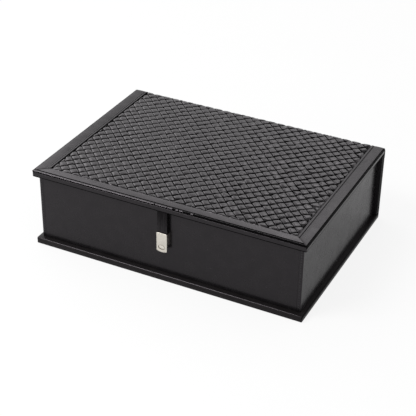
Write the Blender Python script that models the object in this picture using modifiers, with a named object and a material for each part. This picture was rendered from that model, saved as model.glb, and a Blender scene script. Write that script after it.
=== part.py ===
"""Document box: boards covered in leather, a woven lid on a hide hinge, and a magnetic strap clasp.

Units are metres. +Z is up and the front of the box faces -Y. The origin lies on the
surface that the box stands on, under the middle of the box.
"""

import math
from collections import namedtuple

import bmesh
import bpy
from mathutils import Vector

# Whole box
BOX_WIDTH = 0.360
BOX_DEPTH = 0.260
BOX_HEIGHT = 0.105
BASE_THICKNESS = 0.0085
LID_THICKNESS = 0.0090
LID_CLEARANCE = 0.0005

# Leather, boards and linings
LEATHER = 0.0010
LINING = 0.0010
WALL_BOARD = 0.0040
FLOOR_BOARD = 0.0030
GLUE_GAP = 0.0003
EDGE_ROUNDING = 0.0006
TURN_IN = 0.0140
RIM_TURN_IN = 0.0120
FELT_PROUD = 0.0003

# Tray and spine on the base
SIDE_LEDGE = 0.0052
FRONT_LEDGE = 0.0070
SPINE_DEPTH = 0.0112
CORNER_RETURN = 0.0040

# Cover of the lid and the spine
BORDER_THICKNESS = 0.0022
SIDE_BORDER = 0.0175
FRONT_BORDER = 0.0145
WEAVE_DROP = 0.0008
BACK_EDGE_RADIUS = 0.0065

# Hide hinge
HINGE_THICKNESS = 0.0008
HINGE_ON_LID = 0.0030
HINGE_ON_SPINE = 0.0070

# Catch on the front wall
CLASP_X = -0.0020
CATCH_WIDTH = 0.0132
CATCH_HEIGHT = 0.0165
CATCH_DEPTH = 0.0024
CATCH_CORNER = 0.0010
CATCH_BELOW_PLATE_TOP = 0.0019
CATCH_FACE = 0.0007
CATCH_CHEEK = 0.0021
CATCH_BRIDGE = 0.0010
SCREW_EDGE = 0.00225
SCREW_RADIUS = 0.0008
SCREW_HEAD_RADIUS = 0.0016
SCREW_HEAD_DEPTH = 0.0008
SCREW_SLOT = 0.0004
BACKING_THICKNESS = 0.0010

# Strap and what it carries
STRAP_WIDTH = 0.0134
STRAP_THICKNESS = 0.0012
STRAP_DROP = 0.0005
STRAP_SHOWN = 0.0291
PLATE_WIDTH = 0.0138
PLATE_HEIGHT = 0.0262
PLATE_THICKNESS = 0.0012
PLATE_CORNER = 0.0010
PLATE_BOW = 0.0014
PLATE_MARGIN = 0.0010
STUD_WIDTH = 0.0080
STUD_HEIGHT = 0.0056
STUD_HEAD = 0.0006
STUD_RISE = 0.0069
STUD_RADIUS = 0.0011
KEEPER_THICKNESS = 0.0007

# Fixed end of the strap in the lid
ANCHOR_LENGTH = 0.0160
TACK_LENGTH = 0.0030
TACK_RADIUS = 0.0007
TACK_HEAD_RADIUS = 0.0014
TACK_HEAD_DEPTH = 0.0004
TACK_SPACING = 0.0070

# Fineness of the shapes and working allowances
ROUND_STEPS = 24
ARC_STEPS = 6
OVERRUN = 0.0020
WELD = 0.00001

# Places that follow from the sizes
HALF_WIDTH = BOX_WIDTH / 2
FRONT = -BOX_DEPTH / 2
BACK = BOX_DEPTH / 2
BASE_TOP = BASE_THICKNESS
TRAY_FOOT = BASE_TOP + GLUE_GAP
LID_UNDERSIDE = BOX_HEIGHT - LID_THICKNESS
RIM = LID_UNDERSIDE - LID_CLEARANCE
COVER_UNDERSIDE = BOX_HEIGHT - BORDER_THICKNESS
COVER_INSIDE = BACK - BORDER_THICKNESS
CORE_TOP = COVER_UNDERSIDE - GLUE_GAP
CORE_BACK = COVER_INSIDE - GLUE_GAP
TRAY_SIDE = HALF_WIDTH - SIDE_LEDGE
TRAY_FRONT = FRONT + FRONT_LEDGE
SPINE_FRONT = BACK - SPINE_DEPTH
TRAY_BACK = SPINE_FRONT - GLUE_GAP

# Layers of a tray wall, measured inwards from its outer face
BOARD_OUT = LEATHER + GLUE_GAP
BOARD_IN = BOARD_OUT + WALL_BOARD
WALL_IN = BOARD_IN + GLUE_GAP + LEATHER
LINING_IN = BOARD_IN + GLUE_GAP + LINING

# Layers of the clasp, counted outwards from the front wall
CATCH_BACK = TRAY_FRONT - GLUE_GAP
CATCH_FRONT = CATCH_BACK - CATCH_DEPTH
KEEPER_BACK = CATCH_FRONT - GLUE_GAP
KEEPER_FRONT = KEEPER_BACK - KEEPER_THICKNESS
STRAP_BACK = KEEPER_FRONT - GLUE_GAP
STRAP_FRONT = STRAP_BACK - STRAP_THICKNESS
PLATE_BACK = STRAP_FRONT - GLUE_GAP
PLATE_FRONT = PLATE_BACK - PLATE_THICKNESS
STUD_SEAT = PLATE_FRONT + STUD_HEAD
PLATE_TOP = LID_UNDERSIDE - STRAP_SHOWN
PLATE_BOTTOM = PLATE_TOP - PLATE_HEIGHT
STUD_Z = PLATE_BOTTOM + STUD_RISE
CATCH_Z = PLATE_TOP - CATCH_BELOW_PLATE_TOP - CATCH_HEIGHT / 2
SCREW_REACH = CATCH_HEIGHT / 2 - SCREW_EDGE
SCREW_HEIGHTS = {"lower": CATCH_Z - SCREW_REACH, "upper": CATCH_Z + SCREW_REACH}

# Joint axes
HINGE_AXIS = Vector((0, BACK + GLUE_GAP, LID_UNDERSIDE - LID_CLEARANCE / 2))
STRAP_AXIS = Vector((CLASP_X, STRAP_FRONT, LID_UNDERSIDE - STRAP_DROP))

# Directions of the front view's outlines: their flat X-Y plane is stood up to face -Y
STOOD_UP = (math.pi / 2, 0, 0)

# A tray wall: the axis it runs along, its outer face and the direction inwards
Wall = namedtuple("Wall", "runs_along outer inward")
FRONT_WALL = Wall("X", TRAY_FRONT, 1)
REAR_WALL = Wall("X", TRAY_BACK, -1)
LEFT_WALL = Wall("Y", -TRAY_SIDE, 1)
RIGHT_WALL = Wall("Y", TRAY_SIDE, -1)
SIDES = {"left": -1, "right": 1}


def clear_scene():
    """Removes what is in the scene, so that the box starts from nothing."""
    for obj in list(bpy.data.objects):
        bpy.data.objects.remove(obj)


def new_collection(name):
    """A collection of the given name, shown in the scene."""
    collection = bpy.data.collections.new(name)
    bpy.context.scene.collection.children.link(collection)
    return collection


def new_material(name, color, roughness, metallic):
    """A Principled material with one colour, roughness and metallic value."""
    material = bpy.data.materials.new(name)
    material.use_nodes = True
    shader = material.node_tree.nodes["Principled BSDF"]
    shader.inputs["Base Color"].default_value = (*color, 1)
    shader.inputs["Roughness"].default_value = roughness
    shader.inputs["Metallic"].default_value = metallic
    material.diffuse_color = (*color, 1)
    return material


# Shapes

def object_from(name, work, location):
    """Turns a working mesh into an object whose origin lies at the given place."""
    mesh = bpy.data.meshes.new(name)
    work.to_mesh(mesh)
    work.free()
    obj = bpy.data.objects.new(name, mesh)
    obj.location = location
    return obj


def block(name, low, high):
    """A box between two opposite corners."""
    low = Vector(low)
    high = Vector(high)
    work = bmesh.new()
    bmesh.ops.create_cube(work, size=1)
    bmesh.ops.scale(work, vec=high - low, verts=work.verts)
    return object_from(name, work, (low + high) / 2)


def round_back_block(name, low, high, radius):
    """A box whose upper back edge is an arc of the given radius."""
    obj = block(name, low, high)
    if radius > 0:
        work = bmesh.new()
        work.from_mesh(obj.data)
        edge = max(work.edges, key=lambda e: sum(v.co.y + v.co.z for v in e.verts))
        bmesh.ops.bevel(work, geom=[edge], offset=radius, segments=ARC_STEPS,
                        profile=0.5, affect="EDGES")
        work.to_mesh(obj.data)
        work.free()
    return obj


def wall_block(name, wall, run, depth, height):
    """A box in a wall's own terms: run along it, depth in from its outer face, height."""
    across = sorted(wall.outer + wall.inward * step for step in depth)
    if wall.runs_along == "X":
        corners = [(run[i], across[i], height[i]) for i in (0, 1)]
    else:
        corners = [(across[i], run[i], height[i]) for i in (0, 1)]
    return block(name, *corners)


def rod(name, radius, start, end):
    """A cylinder between two points."""
    start = Vector(start)
    end = Vector(end)
    work = bmesh.new()
    bmesh.ops.create_cone(work, cap_ends=True, segments=ROUND_STEPS, radius1=radius,
                          radius2=radius, depth=(end - start).length)
    obj = object_from(name, work, (start + end) / 2)
    obj.rotation_euler = (end - start).to_track_quat("Z", "Y").to_euler()
    return obj


def prism(name, outline, thickness):
    """A closed flat outline in the X-Y plane, given a thickness about that plane."""
    curve = bpy.data.curves.new(name + "_outline", "CURVE")
    curve.dimensions = "2D"
    curve.fill_mode = "BOTH"
    curve.extrude = thickness / 2
    spline = curve.splines.new("POLY")
    spline.points.add(len(outline) - 1)
    for point, (x, y) in zip(spline.points, outline):
        point.co = (x, y, 0, 1)
    spline.use_cyclic_u = True
    drawn = bpy.data.objects.new(name + "_outline", curve)
    bpy.context.scene.collection.objects.link(drawn)
    depsgraph = bpy.context.evaluated_depsgraph_get()
    mesh = bpy.data.meshes.new_from_object(drawn.evaluated_get(depsgraph))
    work = bmesh.new()
    work.from_mesh(mesh)
    bmesh.ops.remove_doubles(work, verts=work.verts, dist=WELD)
    obj = object_from(name, work, drawn.location)
    bpy.data.objects.remove(drawn)
    bpy.data.meshes.remove(mesh)
    return obj


def turned(name, profile, location, rotation):
    """A solid of revolution about its own Z axis, from (radius, height) points read downwards."""
    work = bmesh.new()
    points = [work.verts.new((radius, 0, height)) for radius, height in profile]
    for upper, lower in zip(points, points[1:]):
        work.edges.new((upper, lower))
    obj = object_from(name, work, location)
    obj.rotation_euler = rotation
    screw = obj.modifiers.new("turn", "SCREW")
    screw.axis = "Z"
    screw.angle = 2 * math.pi
    screw.steps = ROUND_STEPS
    screw.render_steps = ROUND_STEPS
    screw.use_merge_vertices = True
    screw.merge_threshold = WELD
    screw.use_smooth_shade = False
    return obj


def arc(centre, radius, start, end):
    """Points along an arc, from one angle to another in degrees."""
    points = []
    for i in range(ARC_STEPS + 1):
        angle = math.radians(start + (end - start) * i / ARC_STEPS)
        points.append((centre[0] + radius * math.cos(angle), centre[1] + radius * math.sin(angle)))
    return points


def rounded_rectangle(width, height, corner):
    """Outline of a rectangle about the origin, with round corners."""
    x = width / 2 - corner
    y = height / 2 - corner
    outline = arc((x, y), corner, 0, 90)
    outline += arc((-x, y), corner, 90, 180)
    outline += arc((-x, -y), corner, 180, 270)
    outline += arc((x, -y), corner, 270, 360)
    return outline


def oval(width, height):
    """Outline of an ellipse about the origin."""
    turn = 2 * math.pi / ROUND_STEPS
    return [(width / 2 * math.cos(i * turn), height / 2 * math.sin(i * turn)) for i in range(ROUND_STEPS)]


# Working on shapes

def soften(obj):
    """Rounds the sharp edges of a leather-covered shape."""
    bevel = obj.modifiers.new("rounding", "BEVEL")
    bevel.width = EDGE_ROUNDING
    bevel.segments = 2
    bevel.limit_method = "ANGLE"
    bevel.angle_limit = math.radians(50)
    return obj


def combine(obj, other, operation):
    """Cuts another shape out of an object, or joins it on."""
    cutters.objects.link(other)
    other.hide_render = True
    other.display_type = "WIRE"
    boolean = obj.modifiers.new(other.name, "BOOLEAN")
    boolean.operation = operation
    boolean.object = other


def cut(obj, *shapes):
    """Cuts the given shapes out of an object."""
    for shape in shapes:
        combine(obj, shape, "DIFFERENCE")


def attach(obj, body):
    """Hangs an object, placed in world terms, on the empty that carries its body."""
    obj.parent = body
    obj.location -= body_places[body.name]


def finish(obj, body, material):
    """Hands a finished piece over to its body, with its material and its cutters."""
    parts.objects.link(obj)
    obj.data.materials.clear()
    obj.data.materials.append(materials[material])
    for modifier in obj.modifiers:
        if modifier.type == "BOOLEAN":
            attach(modifier.object, body)
    attach(obj, body)


def new_body(name, place, parent):
    """An empty that carries one rigid body, standing on its joint axis."""
    empty = bpy.data.objects.new(name, None)
    parts.objects.link(empty)
    empty.parent = parent
    empty.location = place - (body_places[parent.name] if parent else Vector((0, 0, 0)))
    body_places[name] = place
    return empty


# Base

def make_base():
    """Base board in its leather, with a felt panel set into the turned-in edges below."""
    felt_top = FELT_PROUD + LEATHER
    leather_low = (-HALF_WIDTH, FRONT, FELT_PROUD)
    leather = soften(block("base_leather", leather_low, (HALF_WIDTH, BACK, BASE_TOP)))
    inside = HALF_WIDTH - LEATHER
    cut(leather,
        block("base_board_space", (-inside, FRONT + LEATHER, felt_top),
              (inside, BACK - LEATHER, BASE_TOP - LEATHER)),
        block("base_window", (TURN_IN - HALF_WIDTH, FRONT + TURN_IN, FELT_PROUD - OVERRUN),
              (HALF_WIDTH - TURN_IN, BACK - TURN_IN, felt_top + OVERRUN)))
    finish(leather, box, "leather")

    board = inside - GLUE_GAP
    finish(block("base_board", (-board, FRONT + LEATHER + GLUE_GAP, felt_top + GLUE_GAP),
                 (board, BACK - LEATHER - GLUE_GAP, BASE_TOP - LEATHER - GLUE_GAP)), box, "board")

    felt = TURN_IN + GLUE_GAP
    finish(block("base_underside", (felt - HALF_WIDTH, FRONT + felt, 0),
                 (HALF_WIDTH - felt, BACK - felt, felt_top)), box, "felt")


# Tray

def make_tray_boards():
    """Boards of the floor and the four walls; the side boards stand between front and rear."""
    height = (TRAY_FOOT, RIM - LEATHER - GLUE_GAP)
    across = TRAY_SIDE - BOARD_OUT
    front = wall_block("tray_front_board", FRONT_WALL, (-across, across), (BOARD_OUT, BOARD_IN), height)
    cut(front, backing_space(), *screw_holes("board", TRAY_FRONT, TRAY_FRONT + BOARD_IN))
    finish(front, box, "board")
    finish(wall_block("tray_rear_board", REAR_WALL, (-across, across), (BOARD_OUT, BOARD_IN), height),
           box, "board")
    run = (TRAY_FRONT + BOARD_IN + GLUE_GAP, TRAY_BACK - BOARD_IN - GLUE_GAP)
    finish(wall_block("tray_left_board", LEFT_WALL, run, (BOARD_OUT, BOARD_IN), height), box, "board")
    finish(wall_block("tray_right_board", RIGHT_WALL, run, (BOARD_OUT, BOARD_IN), height), box, "board")
    inside = TRAY_SIDE - BOARD_IN - GLUE_GAP
    finish(block("tray_floor_board", (-inside, run[0], TRAY_FOOT),
                 (inside, run[1], TRAY_FOOT + FLOOR_BOARD)), box, "board")


def rim_leather(name, wall, run):
    """Leather of one wall: up its outer face, over the rim and a short way down inside."""
    leather = soften(wall_block(name, wall, run, (0, WALL_IN), (TRAY_FOOT, RIM)))
    beyond = (run[0] - OVERRUN, run[1] + OVERRUN)
    foot = TRAY_FOOT - OVERRUN
    cut(leather,
        wall_block(name + "_board_space", wall, beyond, (LEATHER, WALL_IN - LEATHER),
                   (foot, RIM - LEATHER)),
        wall_block(name + "_lining_space", wall, beyond, (LEATHER, WALL_IN + OVERRUN),
                   (foot, RIM - RIM_TURN_IN)))
    return leather


def make_front_and_rear_leathers():
    """Front and rear leathers; the front one meets the returns of the side leathers."""
    inside = TRAY_SIDE - WALL_IN - GLUE_GAP
    finish(rim_leather("tray_rear_leather", REAR_WALL, (-inside, inside)), box, "leather")

    panel = TRAY_SIDE - CORNER_RETURN - GLUE_GAP
    leather = rim_leather("tray_front_leather", FRONT_WALL, (-panel, panel))
    for side, sign in SIDES.items():
        run = sorted((sign * inside, sign * (panel + OVERRUN)))
        cut(leather,
            wall_block("front_notch_" + side, FRONT_WALL, run, (-OVERRUN, WALL_IN + OVERRUN),
                       (RIM - LEATHER - GLUE_GAP, RIM + OVERRUN)),
            wall_block("front_end_" + side, FRONT_WALL, run, (LEATHER, WALL_IN + OVERRUN),
                       (TRAY_FOOT - OVERRUN, RIM + OVERRUN)))
    cut(leather, *screw_holes("leather", TRAY_FRONT - OVERRUN, TRAY_FRONT + BOARD_OUT))
    finish(leather, box, "leather")


def make_side_leather(side, wall):
    """Side leather, which returns a little way round the corner onto the front wall."""
    name = "tray_" + side + "_leather"
    leather = soften(wall_block(name, wall, (TRAY_FRONT, TRAY_BACK), (0, WALL_IN), (TRAY_FOOT, RIM)))
    beyond = (TRAY_FRONT + LEATHER, TRAY_BACK + OVERRUN)
    front_wall = (TRAY_FRONT + LEATHER, TRAY_FRONT + BOARD_IN + GLUE_GAP)
    rear_wall = (TRAY_BACK - BOARD_IN - GLUE_GAP, TRAY_BACK + OVERRUN)
    front_window = (TRAY_FRONT - OVERRUN, TRAY_FRONT + BOARD_OUT)
    under_rim = (TRAY_FOOT - OVERRUN, RIM - LEATHER)
    through = (LEATHER, WALL_IN + OVERRUN)
    cut(leather,
        wall_block(name + "_board_space", wall, beyond, (LEATHER, WALL_IN - LEATHER), under_rim),
        wall_block(name + "_lining_space", wall, beyond, through,
                   (TRAY_FOOT - OVERRUN, RIM - RIM_TURN_IN)),
        wall_block(name + "_front_space", wall, front_wall, through, under_rim),
        wall_block(name + "_rear_space", wall, rear_wall, through, under_rim),
        wall_block(name + "_front_window", wall, front_window, (CORNER_RETURN, WALL_IN + OVERRUN),
                   under_rim))
    finish(leather, box, "leather")


def make_linings():
    """Lining sheets: the floor, then the walls from above the floor board up to the turned-in rim."""
    depth = (BOARD_IN + GLUE_GAP, LINING_IN)
    lining_foot = TRAY_FOOT + FLOOR_BOARD + GLUE_GAP
    height = (lining_foot, RIM - RIM_TURN_IN - GLUE_GAP)
    across = TRAY_SIDE - BOARD_IN - GLUE_GAP
    finish(wall_block("tray_front_lining", FRONT_WALL, (-across, across), depth, height), box, "lining")
    finish(wall_block("tray_rear_lining", REAR_WALL, (-across, across), depth, height), box, "lining")
    run = (TRAY_FRONT + LINING_IN + GLUE_GAP, TRAY_BACK - LINING_IN - GLUE_GAP)
    finish(wall_block("tray_left_lining", LEFT_WALL, run, depth, height), box, "lining")
    finish(wall_block("tray_right_lining", RIGHT_WALL, run, depth, height), box, "lining")
    inside = TRAY_SIDE - LINING_IN - GLUE_GAP
    finish(block("tray_floor_lining", (-inside, run[0], lining_foot),
                 (inside, run[1], lining_foot + LINING)), box, "lining")


# Spine and hinge

def hinge_recess(name):
    """The shallow step in the back cover that the hinge leather lies in."""
    return block(name, (-HALF_WIDTH - OVERRUN, BACK - HINGE_THICKNESS - GLUE_GAP,
                        LID_UNDERSIDE - HINGE_ON_SPINE - GLUE_GAP),
                 (HALF_WIDTH + OVERRUN, BACK + OVERRUN, LID_UNDERSIDE + HINGE_ON_LID + GLUE_GAP))


def make_spine():
    """Spine board in its leather, with the same cover as the lid on its outer face."""
    leather = soften(block("spine_inner_leather", (-HALF_WIDTH, SPINE_FRONT, TRAY_FOOT),
                           (HALF_WIDTH, CORE_BACK, RIM)))
    inside = HALF_WIDTH - LEATHER
    cut(leather, block("spine_board_space", (-inside, SPINE_FRONT + LEATHER, TRAY_FOOT - OVERRUN),
                       (inside, CORE_BACK + OVERRUN, RIM - LEATHER)))
    finish(leather, box, "leather")

    board = inside - GLUE_GAP
    finish(block("spine_board", (-board, SPINE_FRONT + LEATHER + GLUE_GAP, TRAY_FOOT),
                 (board, CORE_BACK, RIM - LEATHER - GLUE_GAP)), box, "board")

    edge = HALF_WIDTH - SIDE_BORDER
    panel = block("spine_woven_panel", (GLUE_GAP - edge, COVER_INSIDE, TRAY_FOOT),
                  (edge - GLUE_GAP, BACK - WEAVE_DROP, RIM))
    cut(panel, hinge_recess("spine_panel_recess"))
    finish(panel, box, "woven leather")

    for side, sign in SIDES.items():
        near, far = sorted((sign * edge, sign * HALF_WIDTH))
        border = soften(block("spine_border_" + side, (near, COVER_INSIDE, TRAY_FOOT), (far, BACK, RIM)))
        cut(border, hinge_recess("spine_border_recess_" + side))
        finish(border, box, "leather")


def make_hinge_leather():
    """Strip of thin hide across the joint, flush with the back, that the lid turns on."""
    finish(block("hinge_leather", (-HALF_WIDTH, BACK - HINGE_THICKNESS, LID_UNDERSIDE - HINGE_ON_SPINE),
                 (HALF_WIDTH, BACK, LID_UNDERSIDE + HINGE_ON_LID)), box, "leather")


# Catch on the front wall

def screw_holes(name, start_y, end_y):
    """Cylinders that clear the two screws of the catch between two depths."""
    return [rod(f"screw_hole_{name}_{end}", SCREW_RADIUS + GLUE_GAP, (CLASP_X, start_y, z),
                (CLASP_X, end_y, z)) for end, z in SCREW_HEIGHTS.items()]


def backing_space():
    """Pocket for the backing plate in the inner face of the front board."""
    inner_face = TRAY_FRONT + BOARD_IN
    half = CATCH_WIDTH / 2 + GLUE_GAP
    reach = CATCH_HEIGHT / 2 + GLUE_GAP
    return block("backing_space", (CLASP_X - half, inner_face - BACKING_THICKNESS - GLUE_GAP,
                                   CATCH_Z - reach),
                 (CLASP_X + half, inner_face + OVERRUN, CATCH_Z + reach))


def screw_profile(grow):
    """Countersunk screw from its head down to its tip, made larger all round by a clearance."""
    length = TRAY_FRONT + BOARD_IN - CATCH_FRONT - GLUE_GAP
    return [(0, grow), (SCREW_HEAD_RADIUS + grow, grow),
            (SCREW_RADIUS + grow, -SCREW_HEAD_DEPTH - grow), (SCREW_RADIUS + grow, -length - grow),
            (0, -length - grow)]


def make_catch_screw(end, z):
    """Countersunk screw with a slot across its head."""
    screw = turned("catch_screw_" + end, screw_profile(0), (CLASP_X, CATCH_FRONT, z), STOOD_UP)
    reach = SCREW_HEAD_RADIUS + OVERRUN
    cut(screw, block("screw_slot_" + end, (CLASP_X - reach, CATCH_FRONT - OVERRUN, z - SCREW_SLOT / 2),
                     (CLASP_X + reach, CATCH_FRONT + SCREW_SLOT, z + SCREW_SLOT / 2)))
    finish(screw, box, "nickel")


def make_catch():
    """Nickel housing with a magnet in its back, screwed through the wall to a hidden plate."""
    body = prism("catch_body", rounded_rectangle(CATCH_WIDTH, CATCH_HEIGHT, CATCH_CORNER), CATCH_DEPTH)
    body.rotation_euler = STOOD_UP
    body.location = (CLASP_X, (CATCH_BACK + CATCH_FRONT) / 2, CATCH_Z)
    half = CATCH_WIDTH / 2 - CATCH_CHEEK
    reach = SCREW_REACH - SCREW_HEAD_RADIUS - GLUE_GAP - CATCH_BRIDGE
    cut(body, block("magnet_pocket", (CLASP_X - half - GLUE_GAP, CATCH_FRONT + CATCH_FACE,
                                      CATCH_Z - reach - GLUE_GAP),
                    (CLASP_X + half + GLUE_GAP, CATCH_BACK + OVERRUN, CATCH_Z + reach + GLUE_GAP)))
    for end, z in SCREW_HEIGHTS.items():
        cut(body, turned("countersink_" + end, screw_profile(GLUE_GAP), (CLASP_X, CATCH_FRONT, z), STOOD_UP))
        make_catch_screw(end, z)
    finish(body, box, "nickel")

    finish(block("catch_magnet", (CLASP_X - half, CATCH_FRONT + CATCH_FACE + GLUE_GAP, CATCH_Z - reach),
                 (CLASP_X + half, CATCH_BACK, CATCH_Z + reach)), box, "magnet")

    inner_face = TRAY_FRONT + BOARD_IN
    plate = block("catch_backing_plate", (CLASP_X - CATCH_WIDTH / 2, inner_face - BACKING_THICKNESS,
                                          CATCH_Z - CATCH_HEIGHT / 2),
                  (CLASP_X + CATCH_WIDTH / 2, inner_face, CATCH_Z + CATCH_HEIGHT / 2))
    cut(plate, *screw_holes("backing", inner_face - BACKING_THICKNESS - OVERRUN, inner_face + OVERRUN))
    finish(plate, box, "steel")


# Lid

def make_lid_core():
    """Lid board in its leather, with a lining panel set into the turned-in edges below."""
    outer_radius = BACK_EDGE_RADIUS - BORDER_THICKNESS - GLUE_GAP
    lining_top = LID_UNDERSIDE + LEATHER
    leather = soften(round_back_block("lid_leather", (-HALF_WIDTH, FRONT, LID_UNDERSIDE),
                                      (HALF_WIDTH, CORE_BACK, CORE_TOP), outer_radius))
    inside = HALF_WIDTH - LEATHER
    cut(leather,
        round_back_block("lid_board_space", (-inside, FRONT + LEATHER, lining_top),
                         (inside, CORE_BACK - LEATHER, CORE_TOP - LEATHER), outer_radius - LEATHER),
        block("lid_window", (TURN_IN - HALF_WIDTH, FRONT + TURN_IN, LID_UNDERSIDE - OVERRUN),
              (HALF_WIDTH - TURN_IN, CORE_BACK - TURN_IN, lining_top + OVERRUN)),
        strap_slot("strap_slit", LID_UNDERSIDE - OVERRUN, lining_top + OVERRUN))
    finish(leather, lid, "leather")

    half = inside - GLUE_GAP
    board_foot = lining_top + GLUE_GAP
    board = round_back_block("lid_board", (-half, FRONT + LEATHER + GLUE_GAP, board_foot),
                             (half, CORE_BACK - LEATHER - GLUE_GAP, CORE_TOP - LEATHER - GLUE_GAP),
                             outer_radius - LEATHER - GLUE_GAP)
    side = STRAP_WIDTH / 2 + GLUE_GAP
    cut(board,
        block("anchor_pocket", (CLASP_X - side, FRONT, board_foot - OVERRUN),
              (CLASP_X + side, STRAP_FRONT + ANCHOR_LENGTH + GLUE_GAP,
               board_foot + STRAP_THICKNESS + GLUE_GAP)),
        *tack_shapes("tack_hole", GLUE_GAP))
    finish(board, lid, "board")

    margin = TURN_IN + GLUE_GAP
    finish(block("lid_lining", (margin - HALF_WIDTH, FRONT + margin, lining_top - LINING),
                 (HALF_WIDTH - margin, CORE_BACK - margin, lining_top)), lid, "lining")


def cover_core(name):
    """The space inside the lid's cover, which bends over the back edge and runs down behind it."""
    return round_back_block(name, (-HALF_WIDTH - OVERRUN, FRONT - OVERRUN, LID_UNDERSIDE - OVERRUN),
                            (HALF_WIDTH + OVERRUN, COVER_INSIDE, COVER_UNDERSIDE),
                            BACK_EDGE_RADIUS - BORDER_THICKNESS)


def mitre(side, sign):
    """The wedge in front of a side border's mitred end."""
    corner = Vector((sign * HALF_WIDTH, FRONT))
    inner = Vector((sign * (HALF_WIDTH - SIDE_BORDER), FRONT + FRONT_BORDER))
    along = (inner - corner).normalized() * OVERRUN
    start = corner - along
    end = inner + along
    wedge = prism("mitre_" + side, [start, (end.x, start.y), end], LID_THICKNESS)
    wedge.location.z = BOX_HEIGHT
    return wedge


def make_lid_cover():
    """Borders with painted edges around the woven panel; sides and panel wrap over the back edge."""
    edge = HALF_WIDTH - SIDE_BORDER
    for side, sign in SIDES.items():
        near, far = sorted((sign * edge, sign * HALF_WIDTH))
        border = soften(round_back_block("lid_border_" + side, (near, FRONT, LID_UNDERSIDE),
                                         (far, BACK, BOX_HEIGHT), BACK_EDGE_RADIUS))
        cut(border, cover_core("cover_core_" + side), hinge_recess("lid_border_recess_" + side),
            mitre(side, sign))
        finish(border, lid, "leather")

    seam = GLUE_GAP * math.hypot(SIDE_BORDER, FRONT_BORDER) / FRONT_BORDER
    outer = HALF_WIDTH - seam
    inner = edge - seam
    outline = [(-outer, FRONT), (outer, FRONT), (inner, FRONT + FRONT_BORDER),
               (-inner, FRONT + FRONT_BORDER)]
    front = prism("lid_border_front", outline, BORDER_THICKNESS)
    front.location.z = BOX_HEIGHT - BORDER_THICKNESS / 2
    finish(soften(front), lid, "leather")

    panel = round_back_block("lid_woven_panel",
                             (GLUE_GAP - edge, FRONT + FRONT_BORDER + GLUE_GAP, LID_UNDERSIDE),
                             (edge - GLUE_GAP, BACK - WEAVE_DROP, BOX_HEIGHT - WEAVE_DROP),
                             BACK_EDGE_RADIUS - WEAVE_DROP)
    cut(panel, cover_core("cover_core_panel"), hinge_recess("lid_panel_recess"))
    finish(panel, lid, "woven leather")


# Strap

def strap_slot(name, low_z, high_z):
    """An opening that clears the strap's section between two heights."""
    side = STRAP_WIDTH / 2 + GLUE_GAP
    return block(name, (CLASP_X - side, STRAP_FRONT - GLUE_GAP, low_z),
                 (CLASP_X + side, STRAP_BACK + GLUE_GAP, high_z))


def tack_profile(grow):
    """Flat-headed tack from its tip down to its head, made larger all round by a clearance."""
    return [(0, TACK_LENGTH + grow), (TACK_RADIUS + grow, TACK_LENGTH + grow),
            (TACK_RADIUS + grow, TACK_HEAD_DEPTH + grow), (TACK_HEAD_RADIUS + grow, TACK_HEAD_DEPTH + grow),
            (TACK_HEAD_RADIUS + grow, -grow), (0, -grow)]


def tack_place(sign):
    """Where a tack's head lies: flush with the underside of the strap's fixed end."""
    y = STRAP_FRONT + ANCHOR_LENGTH / 2
    return (CLASP_X + sign * TACK_SPACING / 2, y, LID_UNDERSIDE + LEATHER + GLUE_GAP)


def tack_shapes(name, grow):
    """The two tacks as separate shapes, made larger all round by a clearance."""
    return [turned(f"{name}_{side}", tack_profile(grow), tack_place(sign), (0, 0, 0))
            for side, sign in SIDES.items()]


def make_strap_anchor():
    """Fixed end of the strap: up through the slit, then flat in a pocket of the lid board."""
    low_x = CLASP_X - STRAP_WIDTH / 2
    high_x = CLASP_X + STRAP_WIDTH / 2
    flat_foot = LID_UNDERSIDE + LEATHER + GLUE_GAP
    anchor = block("strap_anchor", (low_x, STRAP_FRONT, LID_UNDERSIDE - STRAP_DROP + GLUE_GAP),
                   (high_x, STRAP_FRONT + ANCHOR_LENGTH, flat_foot + STRAP_THICKNESS))
    cut(anchor,
        block("under_anchor", (low_x - OVERRUN, STRAP_BACK, LID_UNDERSIDE - OVERRUN),
              (high_x + OVERRUN, STRAP_FRONT + ANCHOR_LENGTH + OVERRUN, flat_foot)),
        *tack_shapes("anchor_hole", GLUE_GAP))
    finish(anchor, lid, "strap leather")

    for tack in tack_shapes("anchor_tack", 0):
        finish(tack, lid, "steel")


def stud_hole(name, start_y, end_y):
    """A cylinder that clears the shank of the stud between two depths."""
    return rod(name, STUD_RADIUS + GLUE_GAP, (CLASP_X, start_y, STUD_Z), (CLASP_X, end_y, STUD_Z))


def plate_outline():
    """End plate seen from the front: straight sides, round top corners and a bowed lower edge."""
    half = PLATE_WIDTH / 2
    top = PLATE_HEIGHT / 2
    sag = min(PLATE_BOW, half)
    bow_radius = (half ** 2 + sag ** 2) / (2 * sag)
    swing = math.degrees(math.asin(half / bow_radius))
    outline = arc((half - PLATE_CORNER, top - PLATE_CORNER), PLATE_CORNER, 0, 90)
    outline += arc((PLATE_CORNER - half, top - PLATE_CORNER), PLATE_CORNER, 90, 180)
    outline += arc((0, bow_radius - top), bow_radius, 270 - swing, 270 + swing)
    return outline


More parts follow.
